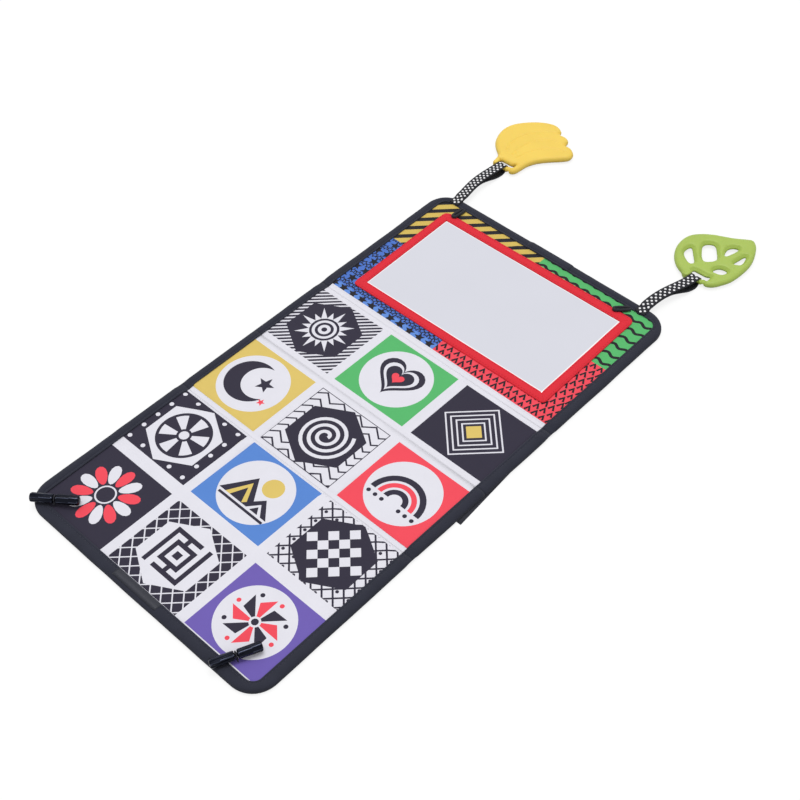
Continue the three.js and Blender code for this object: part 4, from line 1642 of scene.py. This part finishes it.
elastic_radius = 1.7
elastic_length = 15.5
elastic_half_width = 1.85
elastic_tilt = math.radians(7)
elastic_shares = [(-0.1, 0.7), (0.12, 1), (0.45, 1.05), (0.78, 1), (0.94, 0.8), (1, 0), (0.94, -0.8)]
elastic_shares += [(0.78, -1), (0.45, -1.05), (0.12, -1), (-0.08, -0.7)]
for side, degrees in (("left", -90), ("right", -130)):
    bead = Vector(joint_place("elastic_" + side + "_lift"))
    turn = math.radians(degrees)
    flat = Vector((math.cos(turn), math.sin(turn), 0))
    along = flat * math.cos(elastic_tilt) + up * math.sin(elastic_tilt)
    across = up.cross(flat)
    route = [bead + along * a * elastic_length + across * b * elastic_half_width for a, b in elastic_shares]
    line, piece = cord_piece(
        "elastic_hairpin_" + side, route, elastic_radius, "elastic_loop_" + side, "elastic_" + side
    )


# Cloth flap behind the middle panel
flap_thickness = 0.6
flap_waves = 0.06


def flap_piece():
    low, high = span("stand_flap")
    corners = [(vertex.co.x / MM, vertex.co.y / MM) for vertex in frame["nodes"]["stand_flap"].data.vertices]
    middle_y = (low[1] + high[1]) / 2
    far_xs = [x for x, y in corners if y > middle_y]
    near_xs = [x for x, y in corners if y <= middle_y]
    columns, rows = 61, 27
    points = []
    for level in (1, 0):
        for down in np.linspace(0, 1, rows):
            y = high[1] + (low[1] - high[1]) * down
            x0, x1 = [pick(far_xs) + (pick(near_xs) - pick(far_xs)) * down for pick in (min, max)]
            for x in np.linspace(x0, x1, columns):
                wave_height = flap_waves * (1 + ripple(x, y, 25, 6.0))
                points.append((x, y, low[2] + level * (flap_thickness + wave_height)))
    top = grid_faces(columns, rows)
    faces = closed_sheet(top, [0] * len(top), columns * rows)[0]
    flap = make_piece("cloth_flap", points, faces, [back_material])
    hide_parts("stand_flap")
    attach(flap, "flap")


flap_piece()


# Floor, light and background
def any_ray(nodes, links, kinds):
    """1 for rays of any of the kinds, otherwise 0"""
    rays = nodes.new("ShaderNodeLightPath")
    share = rays.outputs[kinds[0]]
    for kind in kinds[1:]:
        either = nodes.new("ShaderNodeMath")
        either.operation = "MAXIMUM"
        links.new(share, either.inputs[0])
        links.new(rays.outputs[kind], either.inputs[1])
        share = either.outputs[0]
    return share


floor_glow = 0.8
floor_grey = 0.24
floor_material = bpy.data.materials.new("pale_floor")
floor_material.use_nodes = True
nodes, links = floor_material.node_tree.nodes, floor_material.node_tree.links
nodes.clear()
output = nodes.new("ShaderNodeOutputMaterial")
diffuse = nodes.new("ShaderNodeBsdfDiffuse")
diffuse.inputs["Color"].default_value = (floor_grey, floor_grey, floor_grey, 1)
glow = nodes.new("ShaderNodeEmission")
share = nodes.new("ShaderNodeMath")
share.operation = "MULTIPLY"
share.inputs[1].default_value = floor_glow
both = nodes.new("ShaderNodeAddShader")
links.new(any_ray(nodes, links, ("Is Camera Ray", "Is Glossy Ray")), share.inputs[0])
links.new(share.outputs[0], glow.inputs["Strength"])
links.new(diffuse.outputs[0], both.inputs[0])
links.new(glow.outputs[0], both.inputs[1])
links.new(both.outputs[0], output.inputs["Surface"])

floor_half = 6000
floor_height = -0.05
floor_corners = [(x, y, floor_height) for x, y in rectangle(-floor_half, floor_half, -floor_half, floor_half)]
floor = make_piece("floor", floor_corners, [[0, 1, 2, 3]], [floor_material])

world_light = 0.62
world = bpy.data.worlds.new("world")
world.use_nodes = True
scene.world = world
nodes, links = world.node_tree.nodes, world.node_tree.links
nodes.clear()
output = nodes.new("ShaderNodeOutputWorld")
mix = nodes.new("ShaderNodeMixShader")
for index, strength in ((1, world_light), (2, 1)):
    background = nodes.new("ShaderNodeBackground")
    background.inputs["Color"].default_value = (1, 1, 1, 1)
    background.inputs["Strength"].default_value = strength
    links.new(background.outputs[0], mix.inputs[index])
seen = any_ray(nodes, links, ("Is Camera Ray", "Is Glossy Ray", "Is Transmission Ray"))
links.new(seen, mix.inputs["Fac"])
links.new(mix.outputs[0], output.inputs["Surface"])

lamp_data = bpy.data.lights.new("soft_sun", "SUN")
lamp_data.energy = 1.06
lamp_data.angle = math.radians(35)
lamp = bpy.data.objects.new("soft_sun", lamp_data)
lamp.rotation_euler = Vector((-0.155, 0.165, 0.973)).to_track_quat("Z", "Y").to_euler()
scene.collection.objects.link(lamp)
